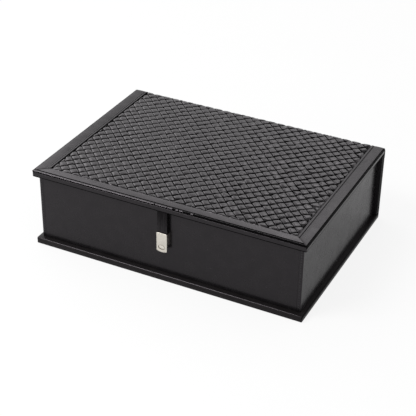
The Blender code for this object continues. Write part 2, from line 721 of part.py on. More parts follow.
def make_strap():
    """Strap with a nickel end plate in front, a steel keeper behind and a stud through all three."""
    strap = block("strap", (CLASP_X - STRAP_WIDTH / 2, STRAP_FRONT, PLATE_BOTTOM + PLATE_BOW + PLATE_MARGIN),
                  (CLASP_X + STRAP_WIDTH / 2, STRAP_BACK, LID_UNDERSIDE - STRAP_DROP))
    cut(strap, stud_hole("strap_hole", STRAP_FRONT - OVERRUN, STRAP_BACK + OVERRUN))
    finish(strap, hanging, "strap leather")

    plate = prism("strap_end_plate", plate_outline(), PLATE_THICKNESS)
    plate.rotation_euler = STOOD_UP
    plate.location = (CLASP_X, (PLATE_BACK + PLATE_FRONT) / 2, (PLATE_TOP + PLATE_BOTTOM) / 2)
    recess = prism("stud_recess", oval(STUD_WIDTH + 2 * GLUE_GAP, STUD_HEIGHT + 2 * GLUE_GAP),
                   STUD_HEAD + OVERRUN)
    recess.rotation_euler = STOOD_UP
    recess.location = (CLASP_X, STUD_SEAT - (STUD_HEAD + OVERRUN) / 2, STUD_Z)
    cut(plate, recess, stud_hole("plate_hole", PLATE_FRONT - OVERRUN, PLATE_BACK + OVERRUN))
    finish(plate, hanging, "nickel")

    stud = prism("strap_plate_stud", oval(STUD_WIDTH, STUD_HEIGHT), STUD_HEAD)
    stud.rotation_euler = STOOD_UP
    stud.location = (CLASP_X, STUD_SEAT - GLUE_GAP - STUD_HEAD / 2, STUD_Z)
    shank = rod("stud_shank", STUD_RADIUS, (CLASP_X, STUD_SEAT - GLUE_GAP - STUD_HEAD / 2, STUD_Z),
                (CLASP_X, KEEPER_BACK, STUD_Z))
    combine(stud, shank, "UNION")
    finish(stud, hanging, "nickel")

    half = STRAP_WIDTH / 2 - PLATE_MARGIN
    keeper = block("strap_keeper",
                   (CLASP_X - half, KEEPER_FRONT, PLATE_BOTTOM + PLATE_BOW + PLATE_MARGIN),
                   (CLASP_X + half, KEEPER_BACK, PLATE_TOP - PLATE_MARGIN))
    cut(keeper, stud_hole("keeper_hole", KEEPER_FRONT - OVERRUN, KEEPER_BACK + OVERRUN))
    finish(keeper, hanging, "steel")


clear_scene()
parts = new_collection("document_box")
cutters = new_collection("document_box_cutters")
materials = {
    "leather": new_material("black leather", (0.012, 0.012, 0.013), 0.34, 0),
    "woven leather": new_material("black woven leather", (0.013, 0.013, 0.014), 0.38, 0),
    "strap leather": new_material("black strap leather", (0.014, 0.014, 0.015), 0.42, 0),
    "board": new_material("grey board", (0.26, 0.24, 0.21), 0.85, 0),
    "lining": new_material("charcoal lining", (0.030, 0.029, 0.028), 0.90, 0),
    "felt": new_material("black felt", (0.016, 0.016, 0.016), 0.95, 0),
    "nickel": new_material("satin nickel", (0.72, 0.68, 0.60), 0.28, 1),
    "steel": new_material("zinc-plated steel", (0.55, 0.55, 0.56), 0.40, 1),
    "magnet": new_material("plated magnet", (0.42, 0.42, 0.44), 0.35, 1),
}
body_places = {}
box = new_body("box_body", Vector((0, 0, 0)), None)
lid = new_body("lid_body", HINGE_AXIS, box)
hanging = new_body("strap_body", STRAP_AXIS, lid)

make_base()
make_tray_boards()
make_front_and_rear_leathers()
make_side_leather("left", LEFT_WALL)
make_side_leather("right", RIGHT_WALL)
make_linings()
make_spine()
make_hinge_leather()
make_catch()
make_lid_core()
make_lid_cover()
make_strap_anchor()
make_strap()
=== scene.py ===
# %% [markdown]
# # A leather document box with a woven lid
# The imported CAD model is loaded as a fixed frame. Everything below gives it a camera, light, leather,
# metal and cloth, and puts finely shaped pieces where the CAD has plain ones. All sizes are in metres.

# %% Load the frame
import bpy
import bmesh
import numpy as np
from mathutils import Matrix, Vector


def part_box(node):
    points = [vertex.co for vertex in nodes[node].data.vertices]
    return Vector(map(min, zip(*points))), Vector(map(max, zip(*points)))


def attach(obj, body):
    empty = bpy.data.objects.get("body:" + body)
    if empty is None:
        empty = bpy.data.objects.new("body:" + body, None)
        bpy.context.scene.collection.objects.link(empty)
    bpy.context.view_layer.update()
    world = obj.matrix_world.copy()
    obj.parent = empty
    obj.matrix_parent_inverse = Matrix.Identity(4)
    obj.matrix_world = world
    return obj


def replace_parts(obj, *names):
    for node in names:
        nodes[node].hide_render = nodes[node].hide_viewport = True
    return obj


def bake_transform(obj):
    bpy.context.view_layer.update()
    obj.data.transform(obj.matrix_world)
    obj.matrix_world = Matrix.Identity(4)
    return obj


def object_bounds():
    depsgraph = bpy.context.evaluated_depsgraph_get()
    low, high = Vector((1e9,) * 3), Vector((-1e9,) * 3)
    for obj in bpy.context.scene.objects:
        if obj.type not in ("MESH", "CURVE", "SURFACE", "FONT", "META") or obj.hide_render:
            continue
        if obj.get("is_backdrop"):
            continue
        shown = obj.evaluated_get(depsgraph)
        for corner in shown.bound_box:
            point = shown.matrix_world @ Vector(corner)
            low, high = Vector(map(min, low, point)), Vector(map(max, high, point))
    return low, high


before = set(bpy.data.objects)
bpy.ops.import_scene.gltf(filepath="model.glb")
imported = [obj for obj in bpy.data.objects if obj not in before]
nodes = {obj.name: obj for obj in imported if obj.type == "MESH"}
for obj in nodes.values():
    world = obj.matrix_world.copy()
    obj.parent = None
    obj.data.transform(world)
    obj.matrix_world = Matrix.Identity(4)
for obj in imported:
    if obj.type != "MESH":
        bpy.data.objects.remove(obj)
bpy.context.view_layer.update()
MM = 0.001

# %% [markdown]
# ## Camera
# The photograph was taken with a long lens from the front right and above. A pinhole camera was fitted
# to the edges of the box, so the script places it by angles and distance rather than by eye.

# %% Place the camera
BOX_WIDTH = 0.360
BOX_HEIGHT = 0.105
FRAME_PIXELS = 416
FOCAL_PIXELS = 1178.65
SENSOR_MM = 36.0
AZIMUTH, ELEVATION, ROLL = np.radians([26.177, 31.4345, 0.9343])
DISTANCE = 4.1311 * BOX_WIDTH
SLIDE = -0.0146 * BOX_WIDTH
RISE = -0.0475 * BOX_WIDTH
NEAREST, FARTHEST = 0.05, 50.0
scene_collection = bpy.context.scene.collection


def camera_axes(azimuth, elevation, roll):
    """Right, up and backward directions: azimuth turns round Z, elevation tips, roll turns in the picture."""
    back = np.array([np.sin(azimuth) * np.cos(elevation), -np.cos(azimuth) * np.cos(elevation),
                     np.sin(elevation)])
    level = np.array([np.cos(azimuth), np.sin(azimuth), 0.0])
    upright = np.cross(back, level)
    right = level * np.cos(roll) + upright * np.sin(roll)
    up = upright * np.cos(roll) - level * np.sin(roll)
    return right, up, back


def stand(thing, right, up, back, position):
    """Puts a camera or a lamp into the scene, at the position and with its three directions."""
    scene_collection.objects.link(thing)
    pose = np.eye(4)
    pose[:3] = np.stack([right, up, back, position], -1)
    thing.matrix_world = Matrix(pose.tolist())


right, up, back = camera_axes(AZIMUTH, ELEVATION, ROLL)
position = np.array([0, 0, BOX_HEIGHT / 2]) + DISTANCE * back + SLIDE * right + RISE * up
camera = bpy.data.objects.new("camera", bpy.data.cameras.new("camera"))
camera.data.sensor_width = SENSOR_MM
camera.data.lens = FOCAL_PIXELS / FRAME_PIXELS * SENSOR_MM
camera.data.clip_start = NEAREST
camera.data.clip_end = FARTHEST
stand(camera, right, up, back, position)
bpy.context.scene.camera = camera
print("Camera at", position.round(3), "with a lens of", round(camera.data.lens, 1), "mm")

# %% [markdown]
# ## Building meshes from arrays
# Each new piece is a grid of points worked out with numpy. These helpers turn grids into closed meshes:
# rows of points become quads, the ends get caps, and the sign of the volume shows whether the faces
# point outwards.

# %% Grid and mesh helpers


def grid_quads(rows, columns, ring=False):
    """Corner numbers of the quads between neighbouring rows and columns; ring joins the last column to
    the first."""
    r = np.arange(rows - 1)[:, None]
    c = np.arange(columns if ring else columns - 1)[None, :]
    c2 = (c + 1) % columns
    corners = [r * columns + c, r * columns + c2, (r + 1) * columns + c2, (r + 1) * columns + c]
    return np.stack([np.broadcast_to(k, (r.size, c.size)).ravel() for k in corners], 1)


def tube_faces(steps, count):
    """Faces of a closed piece from rings of points: quads between the rings and a flat cap at each end."""
    caps = [np.arange(count)[::-1], (steps - 1) * count + np.arange(count)]
    return list(grid_quads(steps, count, ring=True)) + caps


def mesh_piece(name, points, faces, materials, sharp=50, face_material=None):
    """Makes an object from points (N x 3) and faces, turns it right side out by its signed volume and
    shades it smooth except over edges sharper than the given degrees."""
    mesh = bpy.data.meshes.new(name)
    corners = [list(map(int, face)) for face in faces]
    mesh.from_pydata(np.asarray(points, float).reshape(-1, 3).tolist(), [], corners)
    for material in materials:
        mesh.materials.append(material)
    if face_material is not None:
        mesh.polygons.foreach_set("material_index", np.asarray(face_material, np.int32))
    work = bmesh.new()
    work.from_mesh(mesh)
    volume = work.calc_volume(signed=True)
    work.free()
    if volume < 0:
        mesh.flip_normals()
    mesh.shade_smooth()
    mesh.set_sharp_from_angle(angle=np.radians(sharp))
    mesh.update()
    made = bpy.data.objects.new(name, mesh)
    scene_collection.objects.link(made)
    print(f"{name}: {len(mesh.polygons)} faces, {abs(volume) * 1e6:.3f} cubic cm")
    return made


def tube(name, rings, materials, sharp=50, ring_material=None):
    """A closed piece from rings of points (steps x ring x 3). ring_material gives material numbers, either
    for each stretch round the ring or for each step as well; the caps have the first material."""
    steps, count = rings.shape[:2]
    numbers = None
    if ring_material is not None:
        numbers = np.concatenate([np.broadcast_to(ring_material, (steps - 1, count)).ravel(), [0, 0]])
    return mesh_piece(name, rings, tube_faces(steps, count), materials, sharp, numbers)


def wander(x, seed, wavelength):
    """A smooth, repeatable wander between about -1 and 1: five sines of neighbouring wavelengths added."""
    rng = np.random.default_rng(seed)
    turns = rng.uniform(0.5, 2.2, 5) / wavelength
    phases = rng.uniform(0, 2 * np.pi, 5)
    waves = np.sin(2 * np.pi * np.asarray(x)[..., None] * turns + phases)
    return waves.sum(-1) / 3.0


# %% [markdown]
# ## Materials
# The box is black nearly everywhere, so its forms show only through gloss. The leather is therefore a
# dark colour under a soft shine, with fine pebbled grain and slow waves of the hide as bumps, and the
# shine itself wanders a little, as a hand-polished surface does.

# %% Material helpers


def feed(node, inputs):
    """Fills a node's inputs, by name or number: another node's output is linked, a plain value is set."""
    for key, value in inputs.items():
        if isinstance(value, bpy.types.NodeSocket):
            node.id_data.links.new(value, node.inputs[key])
        else:
            node.inputs[key].default_value = value
    return node


def add(tree, kind, inputs=None, **settings):
    """Adds a node, sets its properties and fills its inputs."""
    node = tree.nodes.new(kind)
    for key, value in settings.items():
        setattr(node, key, value)
    return feed(node, inputs or {})


def new_material(name, coordinates="Object"):
    """An empty node material: the material, its tree, its Principled shader and the coordinates on it."""
    material = bpy.data.materials.new(name)
    material.use_nodes = True
    tree = material.node_tree
    place = add(tree, "ShaderNodeTexCoord").outputs[coordinates]
    print("material", name)
    return material, tree, tree.nodes["Principled BSDF"], place


def noise(tree, place, size, detail=3.0):
    """Noise whose blobs are about the given size in metres."""
    node = add(tree, "ShaderNodeTexNoise", {"Vector": place, "Scale": 1 / size, "Detail": detail})
    return node.outputs["Fac"]


def spread(tree, value, low, high, start=0.3, end=0.7, **settings):
    """Maps a value's start...end onto low...high; 0.3 to 0.7 is what a noise mostly gives."""
    limits = {"From Min": start, "From Max": end, "To Min": low, "To Max": high}
    return add(tree, "ShaderNodeMapRange", {"Value": value, **limits}, **settings).outputs["Result"]


def two_colours(tree, share, first, second):
    """Mixes two colours, each three numbers or another node's output, by a share from 0 to 1."""
    first, second = ((*colour, 1) if isinstance(colour, tuple) else colour for colour in (first, second))
    return add(tree, "ShaderNodeMix", {0: share, 6: first, 7: second}, data_type="RGBA").outputs[2]


def bumps(tree, *layers):
    """Bumps over one another, each given as its height and its depth in metres."""
    normal = {}
    for height, depth in layers:
        node = add(tree, "ShaderNodeBump", {"Height": height, "Strength": 1.0, "Distance": depth, **normal})
        normal = {"Normal": node.outputs["Normal"]}
    return normal["Normal"]


def maths(tree, operation, *values):
    """The result of a Math node, from numbers or other nodes' outputs."""
    return add(tree, "ShaderNodeMath", dict(enumerate(values)), operation=operation).outputs[0]


def finish(shader, cloud, colours, shine, roughness, normal, constants):
    """Feeds a shader: one noise moves its colour between two, another its roughness; the rest is given."""
    tree = shader.id_data
    feed(shader, {"Base Color": two_colours(tree, spread(tree, cloud, 0, 1), *colours),
                  "Roughness": spread(tree, shine, *roughness), "Normal": normal, **constants})


# %% Smooth leathers
DYE_TINT = (1.0, 0.92, 0.99, 1.0)
HIDE_WAVE, HIDE_CLOUD, PORE = 45 * MM, 14 * MM, 0.5 * MM
WALL_BLACKS = (0.0055, 0.0050, 0.0055), (0.0085, 0.0078, 0.0085)
BASE_BLACKS = (0.0080, 0.0070, 0.0072), (0.0120, 0.0106, 0.0110)
SPINE_BLACKS = (0.0045, 0.0041, 0.0045), (0.0075, 0.0068, 0.0075)
BAND_BLACKS = (0.005, 0.0042, 0.005), (0.026, 0.0235, 0.026)
LIP_BLACKS = (0.011, 0.0098, 0.011), (0.017, 0.0155, 0.017)
HINGE_BLACKS = (0.014, 0.014, 0.015), (0.019, 0.0185, 0.019)
STRAP_BLACKS = (0.0045, 0.0040, 0.0045), (0.0075, 0.0068, 0.0075)
BAND_POLISH = {"front": 0.61, "left": 0.32, "right": 0.33}
STRAP_SHINE_LIT_TO_SHADED = (0.24, 0.15, 0.07)


def leather(name, colours, gloss, polish=0.5, grain=0.9 * MM, grain_depth=0.02 * MM, wave_depth=0.10 * MM):
    """Smooth finished hide: slow waves, a pebbled grain from Voronoi cells of the given size, fine pores,
    and colour and roughness that wander between two values."""
    material, tree, shader, place = new_material(name)
    cells = add(tree, "ShaderNodeTexVoronoi", {"Vector": place, "Scale": 1 / grain}, feature="SMOOTH_F1")
    slow = noise(tree, place, HIDE_WAVE, 2.0)
    fine = noise(tree, place, PORE, 2.0)
    cloud = noise(tree, place, HIDE_CLOUD, 4.0)
    normal = bumps(tree, (slow, wave_depth), (cells.outputs["Distance"], grain_depth),
                   (fine, grain_depth * 0.3))
    finish(shader, cloud, colours, cloud, gloss, normal,
           {"Specular IOR Level": polish, "Specular Tint": DYE_TINT})
    return material


wall_leather = leather("wall_leather", WALL_BLACKS, (0.22, 0.30), 0.31)
base_hide = leather("base_hide", BASE_BLACKS, (0.28, 0.38), 0.16)
base_polish = leather("base_polish", BASE_BLACKS, (0.20, 0.30), 0.50)
spine_hide = leather("spine_hide", SPINE_BLACKS, (0.40, 0.50), 0.22)
band_leather = {way: leather(f"band_leather_{way}", BAND_BLACKS, (0.18, 0.36), polish, 1.1 * MM, 0.035 * MM,
                             0.20 * MM) for way, polish in BAND_POLISH.items()}
lip_polish = leather("lip_polish", LIP_BLACKS, (0.16, 0.24), 1.0, 1.1 * MM)
hinge_hide = leather("hinge_hide", HINGE_BLACKS, (0.36, 0.46), 0.5, 0.8 * MM)
# Three copies of the strap hide with less shine from lit to shaded: painted shade under the lid
strap_leather = [leather(f"strap_hide_{k + 1}", STRAP_BLACKS, (0.30, 0.42), polish, 0.7 * MM)
                 for k, polish in enumerate(STRAP_SHINE_LIT_TO_SHADED)]

# %% Edge paint, also used as painted shade, and the leather of the weave
PAINT_BLACKS = (0.0010, 0.0007, 0.0010), (0.0018, 0.0014, 0.0018)
STRIP_BLACKS = (0.007, 0.0066, 0.007), (0.015, 0.0142, 0.015)
SHADOW_BLACK = (0.001, 0.001, 0.001)
DARK_DEPTHS = (0.45, 1.0)


def edge_paint_and_shade():
    """Black edge paint, also painted shade in dives, creases and under the lid: nearly black, a little waxy,
    with the ripples that a brush leaves.
    """
    material, tree, shader, place = new_material("edge_paint_and_shade")
    ripple = noise(tree, place, 2.5 * MM)
    finish(shader, ripple, PAINT_BLACKS, ripple, (0.32, 0.5), bumps(tree, (ripple, 0.05 * MM)),
           {"Specular IOR Level": 0.02})
    return material


def woven_leather():
    """Strips of thin black leather. Each strip has its own shade (attribute strip_shade), the grain is
    stretched along it, and a painted shadow darkens the surface where it dives under its neighbour
    (attribute depth)."""
    material, tree, shader, place = new_material("strip_hide", "UV")
    stretched = add(tree, "ShaderNodeMapping", {"Vector": place, "Scale": (0.35, 1, 1)}).outputs["Vector"]
    fibre = noise(tree, stretched, 0.7 * MM)
    cloud = noise(tree, place, 9 * MM)
    shade = add(tree, "ShaderNodeAttribute", attribute_name="strip_shade").outputs["Fac"]
    depth = add(tree, "ShaderNodeAttribute", attribute_name="depth").outputs["Fac"]
    tint = two_colours(tree, shade, *STRIP_BLACKS)
    darkened = two_colours(tree, spread(tree, depth, 0, 1, *DARK_DEPTHS), tint, SHADOW_BLACK)
    rougher = spread(tree, depth, 0, 0.25, *DARK_DEPTHS)
    feed(shader, {"Base Color": darkened,
                  "Roughness": maths(tree, "ADD", spread(tree, cloud, 0.13, 0.25), rougher),
                  "Normal": bumps(tree, (cloud, 0.12 * MM), (fibre, 0.03 * MM)),
                  "Specular IOR Level": 0.60, "Specular Tint": DYE_TINT})
    return material


black_paint_and_shade = edge_paint_and_shade()
strip_leather = woven_leather()

# %% Metals, cloth and board


def brushed_metal(name, colour, gloss, brush=(1, 1, 12)):
    """Metal with a fine brushed finish: noise squeezed hard in one direction roughens and scratches it."""
    material, tree, shader, place = new_material(name)
    squeezed = add(tree, "ShaderNodeMapping", {"Vector": place, "Scale": brush}).outputs["Vector"]
    hair = noise(tree, squeezed, 0.9 * MM)
    cloud = noise(tree, place, 6 * MM, 2.0)
    dull, bright = (tuple(c * share for c in colour) for share in (0.93, 1.05))
    finish(shader, cloud, (dull, bright), hair, gloss, bumps(tree, (hair, 0.004 * MM)), {"Metallic": 1.0})
    return material


def cloth(name, colours, thread, depth, sheen):
    """Napped cloth: short fibres as fine noise, a slower mottle where the nap lies another way, and sheen."""
    material, tree, shader, place = new_material(name)
    fibres = noise(tree, place, thread, 4.0)
    mottle = noise(tree, place, 16 * MM, 4.0)
    finish(shader, mottle, colours, fibres, (0.85, 1.0), bumps(tree, (mottle, depth * 2), (fibres, depth)),
           {"Sheen Weight": sheen, "Sheen Roughness": 0.4, "Specular IOR Level": 0.15})
    return material


def pressed_board():
    """Grey bookbinder's board: matt, with flecks of darker and paler fibre."""
    material, tree, shader, place = new_material("bookbinder_board")
    flecks = noise(tree, place, 1.2 * MM, 5.0)
    finish(shader, flecks, ((0.20, 0.185, 0.16), (0.33, 0.31, 0.27)), flecks, (0.8, 0.95),
           bumps(tree, (flecks, 0.05 * MM)), {})
    return material


satin_nickel = brushed_metal("nickel_satin", (0.74, 0.70, 0.63), (0.24, 0.36))
tarnished_nickel = brushed_metal("nickel_tarnished", (0.12, 0.09, 0.06), (0.45, 0.6))
zinc_steel = brushed_metal("steel_zinc", (0.55, 0.55, 0.57), (0.30, 0.45), (6, 1, 1))
magnet_plating = brushed_metal("magnet_plating", (0.48, 0.48, 0.50), (0.18, 0.30), (1, 1, 1))
suede = cloth("suede_lining", ((0.024, 0.023, 0.022), (0.038, 0.036, 0.034)), 0.45 * MM, 0.05 * MM, 0.25)
felt = cloth("black_felt", ((0.012, 0.012, 0.012), (0.020, 0.020, 0.020)), 0.8 * MM, 0.12 * MM, 0.15)
grey_board = pressed_board()

# %% [markdown]
# ## Woven strips
# The lid's field is a plain weave of leather strips laid on the diagonal: each strip runs over one
# neighbour and under the next. A bump texture would look flat along the edges, so every strip is real.
# A strip is a flat ribbon whose height follows a wave, crest over one crossing and trough under the next.
# The second family runs the other way with the opposite wave, so at each crossing one strip is on top.

# %% The sheet that the strips lie on
FIELD_SIDE = 0.1622
FIELD_FRONT = -0.1152
COVER_UNDERSIDE = 0.1028
COVER_INSIDE = 0.1278
BACK_RADIUS = 0.0043
LID_FOOT = 0.0961
SPINE_TOP = 0.0954
SPINE_FOOT = 0.0089
BORDER_RISE = 2.2 * MM
FLAT_LENGTH = COVER_INSIDE - BACK_RADIUS - FIELD_FRONT
ARC_LENGTH = BACK_RADIUS * np.pi / 2
LID_RUN = FLAT_LENGTH + ARC_LENGTH + (COVER_UNDERSIDE - BACK_RADIUS - LID_FOOT)
SPINE_RUN = SPINE_TOP - SPINE_FOOT


def on_lid(x, s, height):
    """Points on the lid's sheet: s runs from the front, round the back edge in a quarter circle and down;
    height is measured square to the sheet."""
    angle = np.clip((s - FLAT_LENGTH) / BACK_RADIUS, 0, np.pi / 2)
    reach = BACK_RADIUS + height
    y = FIELD_FRONT + np.minimum(s, FLAT_LENGTH) + reach * np.sin(angle)
    drop = np.maximum(s - FLAT_LENGTH - ARC_LENGTH, 0)
    z = COVER_UNDERSIDE - BACK_RADIUS + reach * np.cos(angle) - drop
    return np.stack([x, y, z], -1)


def on_spine(x, s, height):
    """Points on the spine's upright sheet: s runs down from its top, height backwards."""
    return np.stack([x, COVER_INSIDE + height, SPINE_TOP - s], -1)


print(f"The weave runs {LID_RUN / MM:.1f} mm over the lid and {SPINE_RUN / MM:.1f} mm down the spine")

# %% [markdown]
# The first five measures differ between the falling strips (True) and the rising ones (False). From a
# little left of the middle to the right the weave gets looser, as it does in the photograph: the strips
# are narrower, wave higher and less steeply, and move about more.

# %% Measures of the strips
PITCH = {True: 9.23 * MM, False: 10.68 * MM}
START = {True: 3.15 * MM, False: 5.57 * MM}
SLACK = {True: 0.50 * MM, False: 0.70 * MM}
FLANK = {True: 0.38, False: 0.418}
SEED = {True: 11, False: 23}
WAVE = 0.72 * MM
STEEPNESS = 1.6
RIPPLE, RIPPLE_LENGTH = 0.11 * MM, 15 * MM
TWIST, TWIST_LENGTH = 0.20 * MM, 13 * MM
WAVER, WAVER_LENGTH = 0.20 * MM, 24 * MM
LOOSE_START, LOOSE_LENGTH = -0.05, 0.17
LOOSE_STEEPNESS = 1.25
LOOSE_WAVE = 1.22
LOOSE_PLAY = 0.9
LOOSE_SINK = 0.12 * MM
STRIP_THICKNESS = 0.75 * MM
STRIP_GAP = 0.45 * MM
SHORTEST_STRIP = 1.5 * MM
SHEET_MIDDLE = 0.82 * MM
PRESS_SIDE = 1.2 * MM
PRESSED_DOWN = 0.45 * MM
LOWEST, HIGHEST = 0.02 * MM, BORDER_RISE - 0.08 * MM
ROOT = np.sqrt(2)

# Seven points across the upper face and two across the underside: place, drop and painted stretches
ACROSS = np.array([-1.0, -0.94, -0.65, 0.0, 0.65, 0.94, 1.0, 0.98, -0.98])
DROP = np.append(np.array([0.38, 0.18, 0.06, 0.0, 0.06, 0.18, 0.38]) * MM, [STRIP_THICKNESS] * 2)
PAINTED_STRETCHES = np.array([0, 0, 0, 0, 0, 0, 1, 1, 1])
MIDDLE_LINE = 3
DIVE_BELOW = 0.10
END_ROWS = np.linspace(0, 1, 7)[:-1]
print("Strip pitches:", ", ".join(f"{pitch / MM:.2f} mm" for pitch in PITCH.values()))

# %% One strip


def strip_wave(along, pitch, odd, steep):
    """The height of a strip between -1 and 1: nearly level over one neighbour and under the next, with a
    flank between them that is steeper for a higher steep (a cosine pushed through a hyperbolic tangent)."""
    c = np.cos(np.pi * along / pitch) * np.where(odd, -1.0, 1.0)
    return np.tanh(steep * c) / np.tanh(steep)


def strip_ends(cross, run, offset, falling):
    """Where the lines along a strip enter and leave the field, whose edges slant across them."""
    near, far = ROOT * offset, ROOT * (offset + run)
    starts, stops = (cross - far, cross - near) if falling else (near + cross, far + cross)
    return np.maximum(-ROOT * FIELD_SIDE - cross, starts), np.minimum(ROOT * FIELD_SIDE - cross, stops)


def strip_rows(first, last, other, other_start, flank):
    """Positions along a strip, one row per line: in the middle they follow the crossings, bunched where
    the strip dives, and near the slanting ends they run evenly up to the edge of the field. The flank starts
    at that share of a pitch from the middle of the crossing."""
    in_a_pitch = np.array([-0.5, -flank, 0.08 - flank, -0.20, 0.0, 0.20, flank - 0.08, flank])
    inner_low, inner_high = first.max() + 0.5 * MM, last.min() - 0.5 * MM
    crossings = np.arange(np.floor(inner_low / other) - 1, np.ceil(inner_high / other) + 2)
    rows = (other_start + other * (crossings[:, None] + in_a_pitch)).ravel()
    rows = rows[(rows > inner_low) & (rows < inner_high)]
    if len(rows) < 2:
        return first + np.linspace(0, 1, 2 * len(END_ROWS))[:, None] * (last - first)
    start = first + END_ROWS[:, None] * (rows[0] - first)
    end = last + END_ROWS[::-1, None] * (rows[-1] - last)
    return np.concatenate([start, np.broadcast_to(rows[:, None], (len(rows), len(first))), end])


def unturned(cross, t, falling, offset):
    """x and s of points from their place across and along a strip, which lies at 45 degrees to both."""
    return (cross + t) / ROOT, ((cross - t) if falling else (t - cross)) / ROOT - offset


def edge_press(x, s, run, press):
    """0 at the edges of the field and 1 inside, reached over the press distances at front and back."""
    side = (FIELD_SIDE - np.abs(x)) / PRESS_SIDE
    share = np.clip(np.minimum(np.minimum(side, s / press[0]), (run - s) / press[1]), 0, 1)
    return share * share * (3 - 2 * share)


def strip_height(k, falling, t, rise, press, loose, lift):
    """Height over the sheet: the wave of the weave, the strip's own ripple, twist and lift, less of all
    these where it is pressed, and the drop towards its long edges and its underside."""
    play = 1 + LOOSE_PLAY * loose
    ripple = wander(t[:, :1] + 0.37 * k, 5 + falling, RIPPLE_LENGTH) * RIPPLE * play
    twist = wander(t[:, :1] + 0.53 * k, 8 + falling, TWIST_LENGTH) * ACROSS * TWIST * play
    wave = rise * WAVE * (1 + loose * (LOOSE_WAVE - 1)) * (0.35 + 0.65 * press)
    top = wave + (ripple + twist + lift) * press - (1 - press) * PRESSED_DOWN
    middle = SHEET_MIDDLE - LOOSE_SINK * loose
    return np.clip(middle + STRIP_THICKNESS / 2 + top - DROP, LOWEST, HIGHEST)


def one_strip(k, rng, place, run, offset, falling, press):
    """Strip number k of a family as grids (along, across): its points, the rise of its wave, its flat
    coordinates and its shade. None if it is too short. The random draws keep their order."""
    own, other, other_start = PITCH[falling], PITCH[not falling], START[not falling]
    lean = rng.uniform(-0.22, 0.22) * MM
    lift = rng.uniform(-0.08, 0.08) * MM
    shade = rng.uniform(0, 1)
    half_width = (own - STRIP_GAP) / 2 * (1 + rng.uniform(-0.04, 0.02))
    cross = START[falling] + k * own + lean + ACROSS * half_width
    first, last = strip_ends(cross, run, offset, falling)
    if (last - first).min() < SHORTEST_STRIP:
        return None
    t = strip_rows(first, last, other, other_start, FLANK[falling])
    cross = np.broadcast_to(cross, t.shape)
    x, s = unturned(cross, t, falling, offset)
    pressed = edge_press(x, s, run, press)
    loose = np.clip((x - LOOSE_START) / LOOSE_LENGTH, 0, 1)
    waver = wander(t + 0.29 * k, 31 + falling, WAVER_LENGTH) * WAVER
    cross = cross - np.sign(ACROSS) * (SLACK[falling] / 2 * loose + waver) * pressed
    x, s = unturned(cross, t, falling, offset)
    odd = (k % 2 == 1) == falling
    rise = strip_wave(t - other_start, other, odd, STEEPNESS + loose * (LOOSE_STEEPNESS - STEEPNESS))
    height = strip_height(k, falling, t, rise, pressed, loose, lift)
    points = place(np.clip(x, -FIELD_SIDE, FIELD_SIDE), np.clip(s, 0, run), height)
    return points, rise, np.stack([t, cross + 0.5 * k], -1), np.full(t.shape, shade)


# %% A family of strips


def set_attribute(piece, name, values):
    """Stores one number per point, for the material to read."""
    attribute = piece.data.attributes.new(name, "FLOAT", "POINT")
    attribute.data.foreach_set("value", values.astype(np.float32))


def set_uv(piece, flat):
    """Stores flat coordinates, given for each point, at the corners of the faces."""
    corner_points = np.empty(len(piece.data.loops), np.int32)
    piece.data.loops.foreach_get("vertex_index", corner_points)
    layer = piece.data.uv_layers.new(name="strip_uv")
    layer.data.foreach_set("uv", flat[corner_points].astype(np.float32).ravel())


def weave(name, place, run, offset, falling, press):
    """All strips of one direction. In the turned directions u = (x+s)/root 2 and v = (x-s)/root 2 the
    strips are straight, so each is a grid of points (along, across) cut off at the edges of the field.
    Near an edge the weave is pressed flatter, over the press distances. Edges are black, and dives are black
    as painted shade."""
    count = int((2 * FIELD_SIDE + run + 2 * offset) / ROOT / PITCH[falling]) + 2
    rng = np.random.default_rng(SEED[falling])
    drawn = [one_strip(k, rng, place, run, offset, falling, press) for k in range(-count, count + 1)]
    strips = [strip for strip in drawn if strip is not None]
    faces, kinds, base = [], [], 0
    for points, rise, _, _ in strips:
        faces += [base + face for face in tube_faces(*rise.shape)]
        # Where the strip dives under its neighbour it gets the black material, as painted shade in the gap
        dives = np.minimum(rise[:-1, MIDDLE_LINE], rise[1:, MIDDLE_LINE]) < DIVE_BELOW
        kinds += [np.maximum(PAINTED_STRETCHES, dives[:, None]).ravel(), [1, 1]]
        base += rise.size
    points, rise, flat, shade = (np.concatenate(grids) for grids in zip(*strips))
    made = mesh_piece(name, points.reshape(-1, 3), faces, [strip_leather, black_paint_and_shade], 50,
                      np.concatenate(kinds))
    set_attribute(made, "strip_shade", shade.ravel())
    set_attribute(made, "depth", np.clip((1 - rise) / 2, 0, 1).ravel())
    set_uv(made, flat.reshape(-1, 2))
    return made


# %% Weave the lid and the spine
SEAM = 1.5 * MM
LID_PRESS, SPINE_PRESS = (1.2 * MM, 5.0 * MM), (9.0 * MM, 2.5 * MM)
for falling, way in ((True, "falling"), (False, "rising")):
    piece = weave(f"lid_strips_{way}", on_lid, LID_RUN, 0.0, falling, LID_PRESS)
    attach(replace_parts(piece, "lid_woven_panel"), "lid")
    piece = weave(f"spine_strips_{way}", on_spine, SPINE_RUN, LID_RUN + SEAM, falling, SPINE_PRESS)
    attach(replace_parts(piece, "spine_woven_panel"), "box")

# %% [markdown]
# ## Smooth borders
# Three bands of thicker leather frame the weave and meet in mitres at the front corners. Each band is one
# cross-section, with a rounded shoulder, a creased line and a painted edge, carried along the band. At
# the mitres the section is cut at the angle of the corner. The edge paint is black, and the creases are
# black as painted shade; on the sides the black is widened beside the weave and, on the right, at the
# outer edge, as a painted shadow of the gaps there. Their widths were measured in the photograph, and
# they differ from side to side.

# %% Band cross-sections
HALF_WIDTH = 0.180
HALF_DEPTH = 0.130
SIDE_BAND = 0.0175
FRONT_BAND = 0.0145
LIP = 2.3 * MM
FRONT_CREASE = 3.3 * MM
SIDE_CREASE = 3.3 * MM
